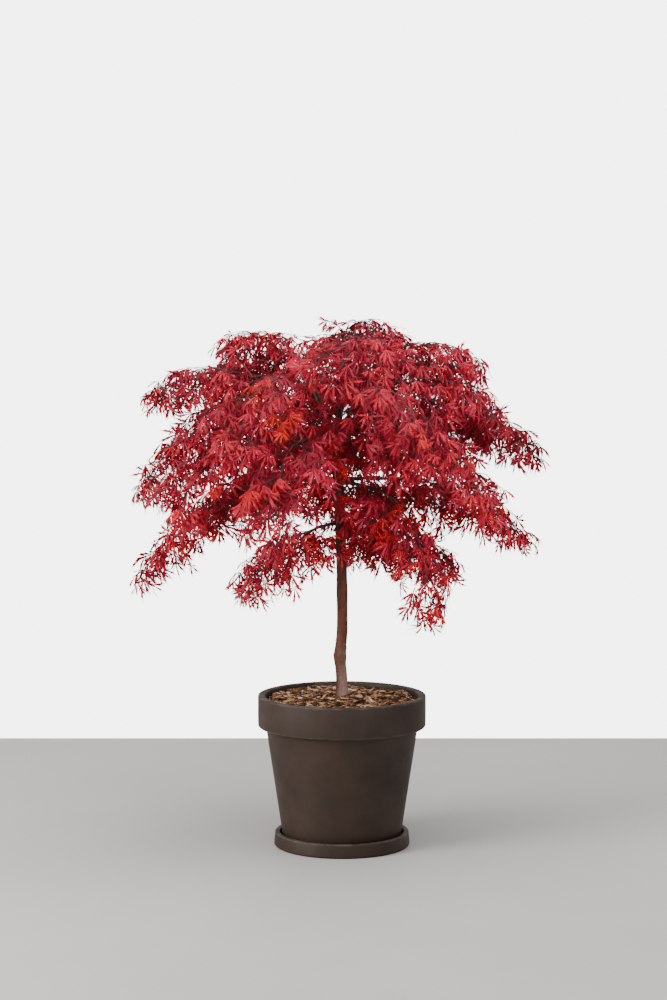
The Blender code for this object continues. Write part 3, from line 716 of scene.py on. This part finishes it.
def chip_shape(rng):
    """One shred of bark along X, of length 1: bent, torn at the ends, six-sided across."""
    points = []
    bend = rng.uniform(*CHIP_BEND)
    lift = rng.uniform(*CHIP_LIFT)
    torn = [rng.uniform(*end) for end in CHIP_ENDS]
    for i in range(CHIP_RINGS):
        share = i / (CHIP_RINGS - 1)
        round_off = math.sin(math.pi * (0.10 + 0.80 * share)) ** 0.6
        wide = round_off * rng.uniform(0.8, 1.1)
        if i == 0:
            wide *= torn[0]
        if i == CHIP_RINGS - 1:
            wide *= torn[1]
        arch = math.sin(math.pi * share)
        middle = Vector((share - 0.5, bend * arch, lift * arch))
        for y, z in CHIP_ACROSS:
            shift = rng.uniform(-0.03, 0.03)
            aside = y * wide * rng.uniform(0.85, 1.1)
            up = z * wide * rng.uniform(0.7, 1.1)
            points.append(middle + Vector((shift, aside, up)))
    return points, tube_triangles(CHIP_RINGS, len(CHIP_ACROSS))


def make_chips():
    """The loose shreds on top: a few shapes, scattered, turned and dealt out in four browns."""
    rng = random.Random(CHIP_SEED)
    shapes = [chip_shape(rng) for _ in range(CHIP_SHAPES)]
    heaps = [Heap() for _ in CHIP_KINDS]
    weights = [kind[3] for kind in CHIP_KINDS]
    furthest = MULCH_RADIUS + CHIP_OVERHANG
    lowest_layer, layers = CHIP_LAYER
    for i in range(CHIP_COUNT):
        points, triangles = shapes[rng.randrange(len(shapes))]
        length = rng.uniform(*CHIP_LENGTH)
        width = length * rng.uniform(*CHIP_SLENDERNESS) + CHIP_LEAST_WIDTH
        thick = rng.uniform(*CHIP_THICKNESS)
        radius = (MULCH_RADIUS - CHIP_EDGE_GAP) * math.sqrt(rng.random())
        where = rng.uniform(0, 2 * math.pi)
        turn = rng.uniform(0, 2 * math.pi)
        x, y = radius * math.cos(where), radius * math.sin(where)
        if length > CHIP_LONG * max(MULCH_RADIUS - radius, CHIP_LEAST_ROOM):
            turn = where + math.pi / 2 + rng.uniform(-0.3, 0.3)
        if math.hypot(x - stem_axis(GROUND).x, y) < TRUNK_CLEAR:
            continue
        z = bed_height(x, y) + lowest_layer + layers * i / CHIP_COUNT
        pitch = Matrix.Rotation(rng.gauss(0.0, CHIP_PITCH), 3, "Y")
        roll = Matrix.Rotation(rng.gauss(0.0, CHIP_ROLL), 3, "X")
        turned = np.array(Matrix.Rotation(turn, 3, "Z") @ (pitch @ roll))
        size = np.array((length, width, thick))
        placed = (np.array(points) * size) @ turned.T + np.array((x, y, z))
        reach = np.hypot(placed[:, 0], placed[:, 1]).max()
        if reach > furthest:
            placed[:, :2] *= furthest / reach
        kind = rng.choices(range(len(heaps)), weights)[0]
        heaps[kind].add(placed, triangles)
    for (name, dark, pale, _), heap in zip(CHIP_KINDS, heaps):
        piece = heap.make("mulch_" + name)
        material = finish_chips("bark_shred_" + name, dark, pale)
        finish_piece(piece, material, "bark_chips", "bark_mulch")


def make_compost():
    """The compost under the mulch, out of sight: a low turned block."""
    wall_slope = (POT_BODY_RADIUS - POT_FOOT_RADIUS) / (UNDER_RIM - SAUCER_FLOOR)
    low = SAUCER_FLOOR + POT_FLOOR + COMPOST_BEVEL
    profile = (
        (POT_FOOT_RADIUS - POT_WALL + wall_slope * POT_FLOOR - COMPOST_BEVEL, low),
        (POT_BODY_RADIUS - POT_WALL - COMPOST_GAP, UNDER_RIM - INNER_STEP),
        (MULCH_RADIUS - COMPOST_GAP, MULCH_EDGE - MULCH_DEPTH),
    )
    piece = lathe("potting_compost", profile, POTTERY_SIDES, COMPOST_BEVEL)
    finish_piece(piece, finish_chips("compost_crumb", *COMPOST_TONES), "compost", "compost")


# ---- stem and boughs


def swelling(height, middle, spread):
    """A smooth rise from 0 to 1 and back, round a middle height."""
    return math.exp(-(((height - middle) / spread) ** 2))


def stem_axis(height):
    """The middle of the stem at a height."""
    share = (height - GROUND) / (STEM_TOP - GROUND)
    kink = GRAFT_KINK * swelling(height, GRAFT_HEIGHT, KINK_SPREAD)
    return Vector((STEM_LEAN * share + STEM_BOW * math.sin(math.pi * share) + kink, 0.0, height))


def stem_radius(height):
    """The stem's girth at a height: a taper, the flared foot, the graft and the head."""
    share = (height - GROUND) / (STEM_TOP - GROUND)
    flare = FLARE * math.exp(-(height - GROUND) / FLARE_HEIGHT)
    graft = GRAFT_SWELL * swelling(height, GRAFT_HEIGHT, GRAFT_SPREAD)
    head = HEAD_SWELL * swelling(height, HEAD_HEIGHT, HEAD_SPREAD)
    return STEM_RADIUS - STEM_TAPER * share + flare + graft + head


TRUNK_SIDES = 96
TRUNK_CUTS = (100, 2)  # all its upright edges are cut this often, and then each part again
TRUNK_FOOT = GROUND - 0.004
TRUNK_ROUNDING = 0.012  # its top is rounded over this height
# The bark's relief. Each row: how close the marks lie round the trunk and up it, and their height
BARK_MARKS = ((260, 22, 0.00042), (520, 140, 0.00022), (60, 18, 0.00075))
# Healed stubs on the trunk: height, side in degrees, size
STUBS = (
    (0.525, 172, 0.0020),
    (0.545, 12, 0.0028),
    (0.556, 320, 0.0028),
    (0.677, 330, 0.0026),
    (0.735, 190, 0.0022),
    (0.820, 60, 0.0024),
    (0.900, 250, 0.0026),
    (0.960, 330, 0.0030),
)


def bark_relief(height, turn, radius):
    """How far the bark stands out of the smooth round at a height and side."""
    relief = 0.0
    x, y = radius * math.cos(turn), radius * math.sin(turn)
    for around, upward, amount in BARK_MARKS:
        relief += amount * noise.noise(Vector((x * around, y * around, height * upward)))
    for stub_height, side, size in STUBS:
        aside = (turn - math.radians(side) + math.pi) % (2 * math.pi) - math.pi
        apart = math.hypot(aside * radius, height - stub_height) / (size * 1.8)
        if apart < 3:  # a bump with a shallow groove round it
            relief += size * 0.75 * math.exp(-(apart**2))
            relief -= size * 0.2 * math.exp(-((apart - 1.3) ** 2) * 4)
    return relief


def cut_upright(piece, cuts):
    """Cuts each upright edge of a cylinder into equal parts."""
    bpy.ops.object.mode_set(mode="EDIT")
    bpy.ops.mesh.select_mode(type="EDGE")
    bpy.ops.mesh.select_all(action="DESELECT")
    bpy.ops.object.mode_set(mode="OBJECT")
    corners = piece.data.vertices
    for edge in piece.data.edges:
        a, b = (corners[i].co for i in edge.vertices)
        edge.select = abs(a.z - b.z) > math.hypot(a.x - b.x, a.y - b.y)
    bpy.ops.object.mode_set(mode="EDIT")
    bpy.ops.mesh.subdivide(number_cuts=cuts)
    bpy.ops.mesh.select_mode(type="VERT")
    bpy.ops.object.mode_set(mode="OBJECT")


def make_trunk():
    """The trunk with its bark: a cylinder, cut into rings and shaped to its line and girth."""
    piece = start_piece(
        "trunk",
        bpy.ops.mesh.primitive_cylinder_add,
        vertices=TRUNK_SIDES,
        radius=STEM_RADIUS,
        depth=STEM_TOP - TRUNK_FOOT,
        location=(0, 0, (STEM_TOP + TRUNK_FOOT) / 2),
    )
    for cuts in TRUNK_CUTS:
        cut_upright(piece, cuts)
    for vertex in piece.data.vertices:
        height = vertex.co.z
        turn = math.atan2(vertex.co.y, vertex.co.x)
        radius = stem_radius(max(height, GROUND))
        radius += bark_relief(height, turn, radius)
        above = height - (STEM_TOP - TRUNK_ROUNDING)
        if above > 0:
            radius *= math.sqrt(max(1 - (above / (TRUNK_ROUNDING + 0.001)) ** 2, 0.05))
        axis = stem_axis(height)
        vertex.co.x = axis.x + radius * math.cos(turn)
        vertex.co.y = axis.y + radius * math.sin(turn)
    bpy.ops.object.shade_smooth()
    finish_piece(piece, finish_bark(), "bark", "stem")


class Bough:
    """One arching limb, and the reach that its foliage keeps to."""

    def __init__(self, row):
        self.name, heading, self.root, self.reach, self.crest, self.lowest = row[:6]
        self.bare, self.spread = row[6:]
        self.heading = math.radians(heading)
        self.out = self.reach - TIP_OVERHANG
        self.tip = self.lowest + TIP_OVERHANG
        self.control = (self.crest - CREST_COVER - (self.root + self.tip) / 8) / 0.75
        self.sway = math.radians(BOUGH_SWAY) * (1 if heading % 2 else -1)

    def at(self, share):
        """The point at a share of the arch: a cubic curve from the stem's axis to the tip."""
        back = 1 - share
        near, far = 3 * back**2 * share, 3 * back * share**2
        out = self.out * (near * ARCH_START + far * ARCH_END + share**3)
        height = back**3 * self.root + (near + far) * self.control + share**3 * self.tip
        turn = self.heading + self.sway * math.sin(math.pi * share)
        foot = stem_axis(self.root) * back**2
        return Vector((foot.x + out * math.cos(turn), out * math.sin(turn), height))

    def radius(self, share):
        """Its thickness: a taper over the bare part, then down to a twig."""
        if share > self.bare:
            on = (share - self.bare) / (1 - self.bare)
            return BOUGH_END_RADIUS + (STEM_TIP_RADIUS - BOUGH_END_RADIUS) * on**0.8
        thin = (1 - share / self.bare) ** BOUGH_THINNING
        return BOUGH_END_RADIUS + (BOUGH_ROOT_RADIUS - BOUGH_END_RADIUS) * thin


BOUGH_SIDES = 9
BOUGH_RINGS = 84
STEM_TIP_RADIUS = 0.0012
NODE_SPACING = 0.034
NODE_SWELL = (0.16, 0.006)  # how far a node swells as a share of the girth, and how widely
COLLAR = (0.0030, 0.016)  # the swelling at a bough's root, and how soon it fades
BOUGH_CROOKS = (22.0, 0.0045)  # how close they lie, and how far they swing
LIMB_RELIEF = (210, 0.16)  # how close its marks lie, and their height as a share of the girth


def wobble(point, scale, amount):
    """A small, smooth sideways shift that gives a limb its natural crooks."""
    shifts = (Vector((0, 0, 0)), Vector((7.1, 0, 0)), Vector((0, 5.3, 0)))
    return Vector([noise.noise(point * scale + shift) for shift in shifts]) * amount


def bough_path(bough):
    """Points along the whole arch, with small crooks that leave both ends where they are."""
    path = []
    closeness, swing = BOUGH_CROOKS
    for i in range(BOUGH_RINGS):
        share = i / (BOUGH_RINGS - 1)
        point = bough.at(share)
        path.append(point + wobble(point, closeness, swing * math.sin(math.pi * share) ** 0.5))
    return path


def limb_relief(centre, way, radius):
    """How far a limb's bark stands out of the smooth round."""
    closeness, amount = LIMB_RELIEF
    return radius * amount * noise.noise((centre + way * 0.02) * closeness)


def make_boughs(boughs):
    """All the limbs, with a collar at the root and small knuckles at the nodes."""
    heap = Heap()
    swell, width = NODE_SWELL
    collar, fade = COLLAR
    for bough in boughs:
        path = bough_path(bough)
        run = 0.0
        radii = []
        for i, point in enumerate(path):
            run += (point - path[i - 1]).length if i else 0.0
            knuckle = math.exp(-(((run / NODE_SPACING) % 1.0 - 0.5) ** 2) / width)
            radius = bough.radius(i / (BOUGH_RINGS - 1)) * (1 + swell * knuckle)
            radii.append(radius + collar * math.exp(-run / fade))
        heap.add(*tube(path, radii, BOUGH_SIDES, limb_relief))
    piece = heap.make("boughs")
    piece.data.polygons.foreach_set("use_smooth", [True] * len(piece.data.polygons))
    names = ["bough_" + bough.name for bough in boughs]
    finish_piece(piece, BOUGH_BARK, "bark", *names)


# ---- foliage

FOLIAGE_SEED = 100
STEM_PAIRS = 13  # opposite pairs of twigs on each mass's stem
FIRST_PAIR = 0.03
LAST_PAIR = 0.93
PAIR_STAGGER = 0.012
INNER = 0.25  # the share of a bough, before its mass begins, that has a few twigs too
INNERMOST = 0.05
TWIG_REACH = 0.215
TWIG_REACH_RANGE = (0.55, 1.15)
TWIG_WAVE = (0.35, 0.95)
TWIG_ANGLE = 54.0
TWIG_ANGLE_SPREAD = 9.0
TWIG_ROLL = 24.0
TWIG_ROLL_SPREAD = 12.0
TWIG_DROOP = 0.28
LOW_DROOP = 5.0  # how much more they droop for each metre that they start below LOW_TOP
LOW_TOP = 1.0
MOST_DROOP = 0.85
TWIG_SHRINK = 0.88
TWIG_SHORTEST = 0.035
TWIG_RINGS = 7
STEM_END_RINGS = 12  # the last rings of a mass's stem and of a twig carry leaves of their own
TWIG_END_RINGS = 3
TWIG_SIDES = 4
TWIG_RADII = (0.0017, 0.0008)
TWIG_CROOKS = (40.0, 0.004)
SPRAY_RUNS = (0.20, 0.38, 0.55, 0.71, 0.87)  # where pairs of fine twigs leave a twig
SPRAY_MISSING = 0.20  # the chance that a fine twig is missing
SPRAY_REACH = 0.056
SPRAY_REACH_RANGE = (0.6, 1.15)
SPRAY_TAPER = (1.15, 0.55)  # its length at the twig's root, and how much it loses by the tip
SPRAY_SHORTEST = 0.20
LONG_TWIG = 0.13  # on a twig shorter than this, the fine twigs are shorter too
SPRAY_ANGLE = 48.0
SPRAY_ANGLE_SPREAD = 10
SPRAY_ROLL_SPREAD = 35
SPRAY_DROOP = 0.25
SPRAY_RADII = (0.0011, 0.0009, 0.0008, 0.0006)
FINE_SIDES = 3
SAME_TINT = 0.4  # the chance that a fine twig's leaves have the tint of its twig
SPRAY_LEAVES = ((0.10, 1.0), (0.55, 1.0), (0.95, 0.90))  # place and size of each pair
LEAF_CHANCE = 0.50  # of each leaf of a pair
TIP_LEAF = 0.95
LEAF_TAPER = 0.04  # how much smaller the leaves are at a twig's tip
INNER_FILL = 0.30  # the share of the leaves that twigs keep at the pot's axis
FULL_SHARE = 0.52  # and the share of the reach where they have all of them
HIGH_FOOT = 1.20  # above this height, twigs keep fewer leaves again
HIGH_FILL = 0.72
LOW_FILL = 0.80  # the share that the twigs of the low boughs keep at least
STALK = (0.010, 0.022)
STALK_RADII = (0.00075, 0.0006, 0.0005)
STALK_RISE = (0.12, 0.15)  # how far its middle and its end rise, as a share of its length
LEAF_SIZE = 0.051
LEAF_SIZE_RANGE = (0.78, 1.12)
LEAF_MIDDLE = 0.4  # the middle of a leaf, as a share of its length
LEAF_SPACING = 0.0250  # the least distance between the middles of two leaves
NEIGHBOURS = list(itertools.product((-1, 0, 1), repeat=3))
LEAF_SPREAD = (0.10, 0.85)
LEAF_OUTWARD = 0.45
LEAF_HANG = (0.05, 0.85)
FACE_UP = 1.0
FACE_OUTWARD = 0.35
FACE_LOOSE = 1.00
SPACE_SAMPLES = 12
SPACE_END = 1.06
SPACE_NEAREST = 26
SPACE_DROP = 0.030
STEM_CLEARANCE = 0.022
SPACE_OVERLAP = 0.070  # sprays of two masses may mingle this far
REACH_MARGIN = 0.002  # how far leaf tips stay inside the reach of their mass
HALF_DEPTH = 0.515  # how far they may reach to the front and to the back
HEIGHT_OVER = 0.010  # how far they may pass its crest and its lowest height

LEAF_SEED = 3
LEAF_SHAPES = 20
# Each lobe, on both sides: angle in degrees, length, segments
LOBES = ((0, 1.0, 4), (36, 0.90, 3), (75, 0.70, 3), (115, 0.40, 2))
LEAF_SAG = (0.20, 0.70)
LEAF_CUP = (-0.06, 0.10)
LEAF_CLOSED = (0.62, 1.10)  # how far the lobes fan out
LEAF_FOLDED = (0.05, 0.60)  # how far the outer lobes hang below the middle one
LOBE_TURN = (0.86, 1.12)
LOBE_LENGTH = (0.78, 1.10)
LOBE_BOW = 0.18
LOBE_TWIST = 1.1
LOBE_LIFT = 0.26
LOBE_START = 0.05
LOBE_HALF_WIDTH = (0.007, 0.041)  # at its ends, and how much more in its middle
TOOTH = 0.090
TOOTH_FORWARD = 0.25
LEAF_TINTS = (
    ("wine", (0.180, 0.004, 0.015)),
    ("garnet", (0.230, 0.005, 0.017)),
    ("crimson", (0.285, 0.006, 0.019)),
    ("ruby", (0.335, 0.007, 0.020)),
    ("scarlet", (0.400, 0.009, 0.012)),
    ("flame", (0.440, 0.012, 0.005)),
    ("rose", (0.355, 0.011, 0.034)),
)
TINT_EDGES = (-0.15, 0.12, 0.42, 0.76, 1.15)  # from each tint to the next, up to flame
TINT_TOP = 1.25
TINT_SPAN = 0.6
WARMER_LOW = 0.35
WARMER_INSIDE = 0.5
WARMTH_SPREAD = 0.35
ROSE_CHANCE = 0.16


def leaf_shape(rng):
    """A cut leaf of size 1 along X, upper face +Z: narrow toothed lobes with drooping tips."""
    points = []
    triangles = []
    sag = rng.uniform(*LEAF_SAG)
    cup = rng.uniform(*LEAF_CUP)
    closed = rng.uniform(*LEAF_CLOSED)
    folded = rng.uniform(*LEAF_FOLDED)
    for side in (0, 1, -1, 2, -2, 3, -3):  # the middle lobe, then those to its left and right
        angle, length, parts = LOBES[abs(side)]
        turn = math.radians(angle * closed * rng.uniform(*LOBE_TURN)) * (1 if side > 0 else -1)
        length *= rng.uniform(*LOBE_LENGTH)
        bow = rng.uniform(-LOBE_BOW, LOBE_BOW)
        twist = rng.uniform(-LOBE_TWIST, LOBE_TWIST)
        lift = rng.uniform(-LOBE_LIFT, LOBE_LIFT) - folded * angle / 96
        cosine, sine = math.cos(turn), math.sin(turn)

        def spot(along, aside, fold):
            """A point of the lobe: along it, aside from its middle, and folded up from it."""
            far = along * length
            bent = aside + bow * along * along * length
            up = lift * along + fold + twist * aside * along - sag * far * far
            up += cup * abs(aside) * 3
            return (cosine * far - sine * bent, sine * far + cosine * bent, up)

        stops = [LOBE_START + (1 - LOBE_START) * i / parts for i in range(parts)]
        least, more = LOBE_HALF_WIDTH
        base = len(points)
        for stop in stops:
            half = least + more * math.sin(math.pi * stop) ** 1.4
            points += [spot(stop, -half, 0.012), spot(stop, half, 0.012)]
        tip = len(points)
        points.append(spot(1.0, 0.0, 0.0))
        for i in range(parts - 1):
            a = base + 2 * i
            triangles += [(a, a + 2, a + 3), (a, a + 3, a + 1)]
            middle = (stops[i] + stops[i + 1]) / 2
            forward = stops[i + 1] + TOOTH_FORWARD * (stops[i + 1] - stops[i])
            out = TOOTH * math.sin(math.pi * (0.06 + 0.78 * middle)) * rng.uniform(0.8, 1.2)
            tooth = len(points)
            points += [spot(forward, -out, -0.004), spot(forward, out, -0.004)]
            triangles += [(a, tooth, a + 2), (a + 1, a + 3, tooth + 1)]
        a = base + 2 * (parts - 1)
        triangles.append((a, tip, a + 1))
    return np.array(points, np.float32), np.array(triangles, np.int64)


class Space:
    """What a mass of foliage may take up: nearer to its own arch than to others."""

    def __init__(self, boughs):
        self.boughs = boughs
        self.owners = []
        places = []
        for owner, bough in enumerate(boughs):
            for i in range(SPACE_SAMPLES):
                share = bough.bare + (SPACE_END - bough.bare) * i / (SPACE_SAMPLES - 1)
                places.append(bough.at(share) - UP * SPACE_DROP)
                self.owners.append(owner)
        self.tree = KDTree(len(places))
        for i, place in enumerate(places):
            self.tree.insert(place, i)
        self.tree.balance()

    def holds(self, point, owner):
        """Whether a point lies in the space of the owner's mass."""
        bough = self.boughs[owner]
        if math.hypot(point.x, point.y) > bough.reach:
            return False
        if not bough.lowest <= point.z <= bough.crest:
            return False
        if math.hypot(point.x - stem_axis(point.z).x, point.y) < STEM_CLEARANCE:
            return False
        mine = others = None
        for _, i, distance in self.tree.find_n(point, SPACE_NEAREST):
            if self.owners[i] == owner:
                mine = distance if mine is None else mine
            elif others is None:
                others = distance
        return mine is not None and (others is None or mine < others + SPACE_OVERLAP)

    def reaches(self, placed, owner):
        """Whether a whole leaf keeps to the reach and the heights of its mass."""
        bough = self.boughs[owner]
        if np.hypot(placed[:, 0], placed[:, 1]).max() > bough.reach - REACH_MARGIN:
            return False
        if np.abs(placed[:, 1]).max() > HALF_DEPTH:
            return False
        low, high = placed[:, 2].min(), placed[:, 2].max()
        return low > bough.lowest - HEIGHT_OVER and high < bough.crest + HEIGHT_OVER


def point_on(path, run):
    """The point at a share of a path, and the direction there."""
    place = run * (len(path) - 1)
    i = min(int(place), len(path) - 2)
    return path[i].lerp(path[i + 1], place - i), (path[i + 1] - path[i]).normalized()


def side_shoot(root, along, side, angle, roll, reach, droop, rings):
    """A shoot that leaves its stem at an angle, then droops."""
    sideways = along.cross(UP).normalized() * side
    sideways = sideways * math.cos(roll) + UP * math.sin(roll)
    direction = (along * math.cos(angle) + sideways * math.sin(angle)).normalized()
    path = []
    for i in range(rings):
        part = i / (rings - 1)
        path.append(root + direction * reach * part - UP * droop * reach * part**2)
    return path


def leaf_frame(along, sideways, outward, rng):
    """A leaf's direction and the way its upper face looks."""
    direction = along + sideways * rng.uniform(*LEAF_SPREAD) + outward * LEAF_OUTWARD
    direction = (direction.normalized() - UP * rng.uniform(*LEAF_HANG)).normalized()
    loose = Vector((rng.uniform(-1, 1), rng.uniform(-1, 1), rng.uniform(-1, 1)))
    face = UP * FACE_UP + outward * FACE_OUTWARD + loose * FACE_LOOSE
    face = (face - direction * face.dot(direction)).normalized()
    return direction, face


class Crown:
    """Gathers the twigs, the stalks and the leaves of each tint."""

    def __init__(self, boughs):
        rng = random.Random(LEAF_SEED)
        self.shapes = [leaf_shape(rng) for _ in range(LEAF_SHAPES)]
        self.boughs = boughs
        self.space = Space(boughs)
        self.twigs = Heap()
        self.stalks = Heap()
        self.leaves = [Heap() for _ in LEAF_TINTS]
        self.taken = {}
        self.owner = None  # the number of the mass that grows now, and its random draws
        self.rng = None

    def has_room(self, middle):
        """Whether no other leaf lies within the spacing; if so, the place is taken."""
        x, y, z = (math.floor(value / LEAF_SPACING) for value in middle)
        for step in NEIGHBOURS:
            for other in self.taken.get((x + step[0], y + step[1], z + step[2]), ()):
                if (other - middle).length < LEAF_SPACING:
                    return False
        self.taken.setdefault((x, y, z), []).append(middle)
        return True

    def hang_leaf(self, root, along, side, tint, scale):
        """A leaf on its stalk, if there is room for it."""
        rng = self.rng
        sideways = along.cross(UP).normalized() * side
        outward = Vector((root.x, root.y, 0.0)).normalized()
        direction, face = leaf_frame(along, sideways, outward, rng)
        stalk = rng.uniform(*STALK) * scale
        size = LEAF_SIZE * scale * rng.uniform(*LEAF_SIZE_RANGE)
        middle_rise, end_rise = STALK_RISE
        base = root + direction * stalk + UP * end_rise * stalk
        across = face.cross(direction).normalized()
        turned = Matrix((direction, across, face)).transposed()
        shape, triangles = self.shapes[rng.randrange(len(self.shapes))]
        placed = (shape * size) @ np.array(turned, np.float32).T + np.array(base, np.float32)
        if not self.space.holds(base, self.owner) or not self.space.reaches(placed, self.owner):
            return
        if not self.has_room(base + direction * size * LEAF_MIDDLE):
            return
        self.leaves[tint].add(placed, triangles)
        middle = root.lerp(base, 0.5) + UP * middle_rise * stalk
        self.stalks.add(*tube([root, middle, base], STALK_RADII, FINE_SIDES))

    def grow_spray(self, path, tint, size, fill):
        """Leaves in pairs along a fine twig, and one more at its tip."""
        for run, scale in SPRAY_LEAVES:
            root, along = point_on(path, run)
            for side in (-1, 1):
                if self.rng.random() < LEAF_CHANCE * fill:
                    self.hang_leaf(root, along, side, tint, scale * size)
        if self.rng.random() < fill:
            self.hang_leaf(root, along, 0, tint, TIP_LEAF * size)

    def grow_mass(self, owner):
        """The twigs and leaves of one mass, in pairs along its bough."""
        self.owner = owner
        self.rng = random.Random(FOLIAGE_SEED + owner)
        stem = bough_path(self.boughs[owner])
        stem = stem[int(max(self.boughs[owner].bare - INNER, INNERMOST) * (len(stem) - 1)) :]
        for pair in range(STEM_PAIRS):
            run = FIRST_PAIR + (LAST_PAIR - FIRST_PAIR) * pair / (STEM_PAIRS - 1)
            for side in (-1, 1):
                self.grow_twig(stem, min(run + PAIR_STAGGER * side, 1.0), side, pair)
        root, _ = point_on(stem, 1.0)
        self.grow_spray(stem[-STEM_END_RINGS:], tint_for(root, self.rng), 1.0, 1.0)

    def fill_at(self, root):
        """The share of the leaves that a twig keeps: fewer near the stem and at the top."""
        full = FULL_SHARE * self.boughs[self.owner].reach
        fill = INNER_FILL + (1 - INNER_FILL) * min(math.hypot(root.x, root.y) / full, 1.0)
        if root.z < LOW_TOP:
            fill = max(fill, LOW_FILL)
        if root.z > HIGH_FOOT:
            fill *= HIGH_FILL
        return fill

    def grow_twig(self, stem, run, side, pair):
        """A twig, its fine twigs and their leaves."""
        rng = self.rng
        root, along = point_on(stem, run)
        fill = self.fill_at(root)
        start, end = TWIG_WAVE
        fullness = math.sin(math.pi * (start + (end - start) * run))
        reach = TWIG_REACH * self.boughs[self.owner].spread
        reach = reach * fullness * rng.uniform(*TWIG_REACH_RANGE)
        angle = math.radians(TWIG_ANGLE + rng.uniform(-TWIG_ANGLE_SPREAD, TWIG_ANGLE_SPREAD))
        roll = TWIG_ROLL * (1 if pair % 2 else -1) * side
        roll = math.radians(roll + rng.uniform(-TWIG_ROLL_SPREAD, TWIG_ROLL_SPREAD))
        droop = min(TWIG_DROOP + LOW_DROOP * max(LOW_TOP - root.z, 0.0), MOST_DROOP)
        path = side_shoot(root, along, side, angle, roll, reach, droop, TWIG_RINGS)
        while not self.space.holds(path[-1], self.owner):
            if (path[-1] - path[0]).length < TWIG_SHORTEST:
                return
            path = [path[0].lerp(point, TWIG_SHRINK) for point in path]
        closeness, swing = TWIG_CROOKS
        thick, thin = TWIG_RADII
        radii = []
        for i in range(TWIG_RINGS):
            share = i / (TWIG_RINGS - 1)
            path[i] = path[i] + wobble(path[i], closeness, swing * math.sin(math.pi * share))
            radii.append(thick + (thin - thick) * share)
        self.twigs.add(*tube(path, radii, TWIG_SIDES))
        tint = tint_for(path[-1], rng)
        for share in SPRAY_RUNS:
            for hand in (-1, 1):
                self.grow_fine_twig(path, share, hand, tint, fill)
        self.grow_spray(path[-TWIG_END_RINGS:], tint, 1.0 - LEAF_TAPER, fill)

    def grow_fine_twig(self, path, share, hand, tint, fill):
        """A fine twig at a share of its twig, and its leaves."""
        rng = self.rng
        if rng.random() < SPRAY_MISSING:
            return
        root, along = point_on(path, share)
        most, less = SPRAY_TAPER
        reach = SPRAY_REACH * rng.uniform(*SPRAY_REACH_RANGE) * (most - less * share)
        reach *= min(1.0, SPRAY_SHORTEST + (path[-1] - path[0]).length / LONG_TWIG)
        angle = SPRAY_ANGLE + rng.uniform(-SPRAY_ANGLE_SPREAD, SPRAY_ANGLE_SPREAD)
        roll = math.radians(rng.uniform(-SPRAY_ROLL_SPREAD, SPRAY_ROLL_SPREAD))
        rings = len(SPRAY_RADII)
        fine = side_shoot(root, along, hand, math.radians(angle), roll, reach, SPRAY_DROOP, rings)
        if not self.space.holds(fine[-1], self.owner):
            return
        self.twigs.add(*tube(fine, SPRAY_RADII, FINE_SIDES))
        tint = tint if rng.random() < SAME_TINT else tint_for(fine[-1], rng)
        self.grow_spray(fine, tint, 1.0 - LEAF_TAPER * share, fill)


def tint_for(point, rng):
    """The number of a spray's tint: dark outside, bright inside and low down, at times rose."""
    low = (TINT_TOP - point.z) / TINT_SPAN
    inside = 1 - math.hypot(point.x, point.y) / TINT_SPAN
    warm = WARMER_LOW * low + WARMER_INSIDE * inside + rng.gauss(0.0, WARMTH_SPREAD)
    if rng.random() < ROSE_CHANCE:
        return len(TINT_EDGES) + 1
    return bisect.bisect(TINT_EDGES, warm)


def make_crown(boughs):
    """The twigs, the stalks and the leaves, each tint as one piece, for all the masses."""
    crown = Crown(boughs)
    for owner in range(len(boughs)):
        crown.grow_mass(owner)
    masses = ["foliage_" + bough.name for bough in boughs]
    piece = crown.twigs.make("twigs")
    finish_piece(piece, TWIG_BARK, "bark", *masses)
    piece = crown.stalks.make("leaf_stalks")
    finish_piece(piece, STALK_SKIN, "foliage", *masses)
    for (name, colour), heap in zip(LEAF_TINTS, crown.leaves):
        piece = heap.make("leaves_" + name)
        finish_piece(piece, finish_leaf("leaf_" + name, colour), "foliage", *masses)


# ---- putting it together

set_camera()
set_light()
lay_floor()
make_saucer()
make_pot()
make_compost()
make_bed()
make_chips()
make_trunk()
BOUGH_BARK = finish_twig("bough_bark", *BOUGH_TONES, 0.65)
TWIG_BARK = finish_twig("twig_bark", *TWIG_TONES, 0.55)
STALK_SKIN = finish_twig("stalk_skin", *STALK_TONES, 0.50)
all_boughs = [Bough(row) for row in BOUGHS]
make_boughs(all_boughs)
make_crown(all_boughs)
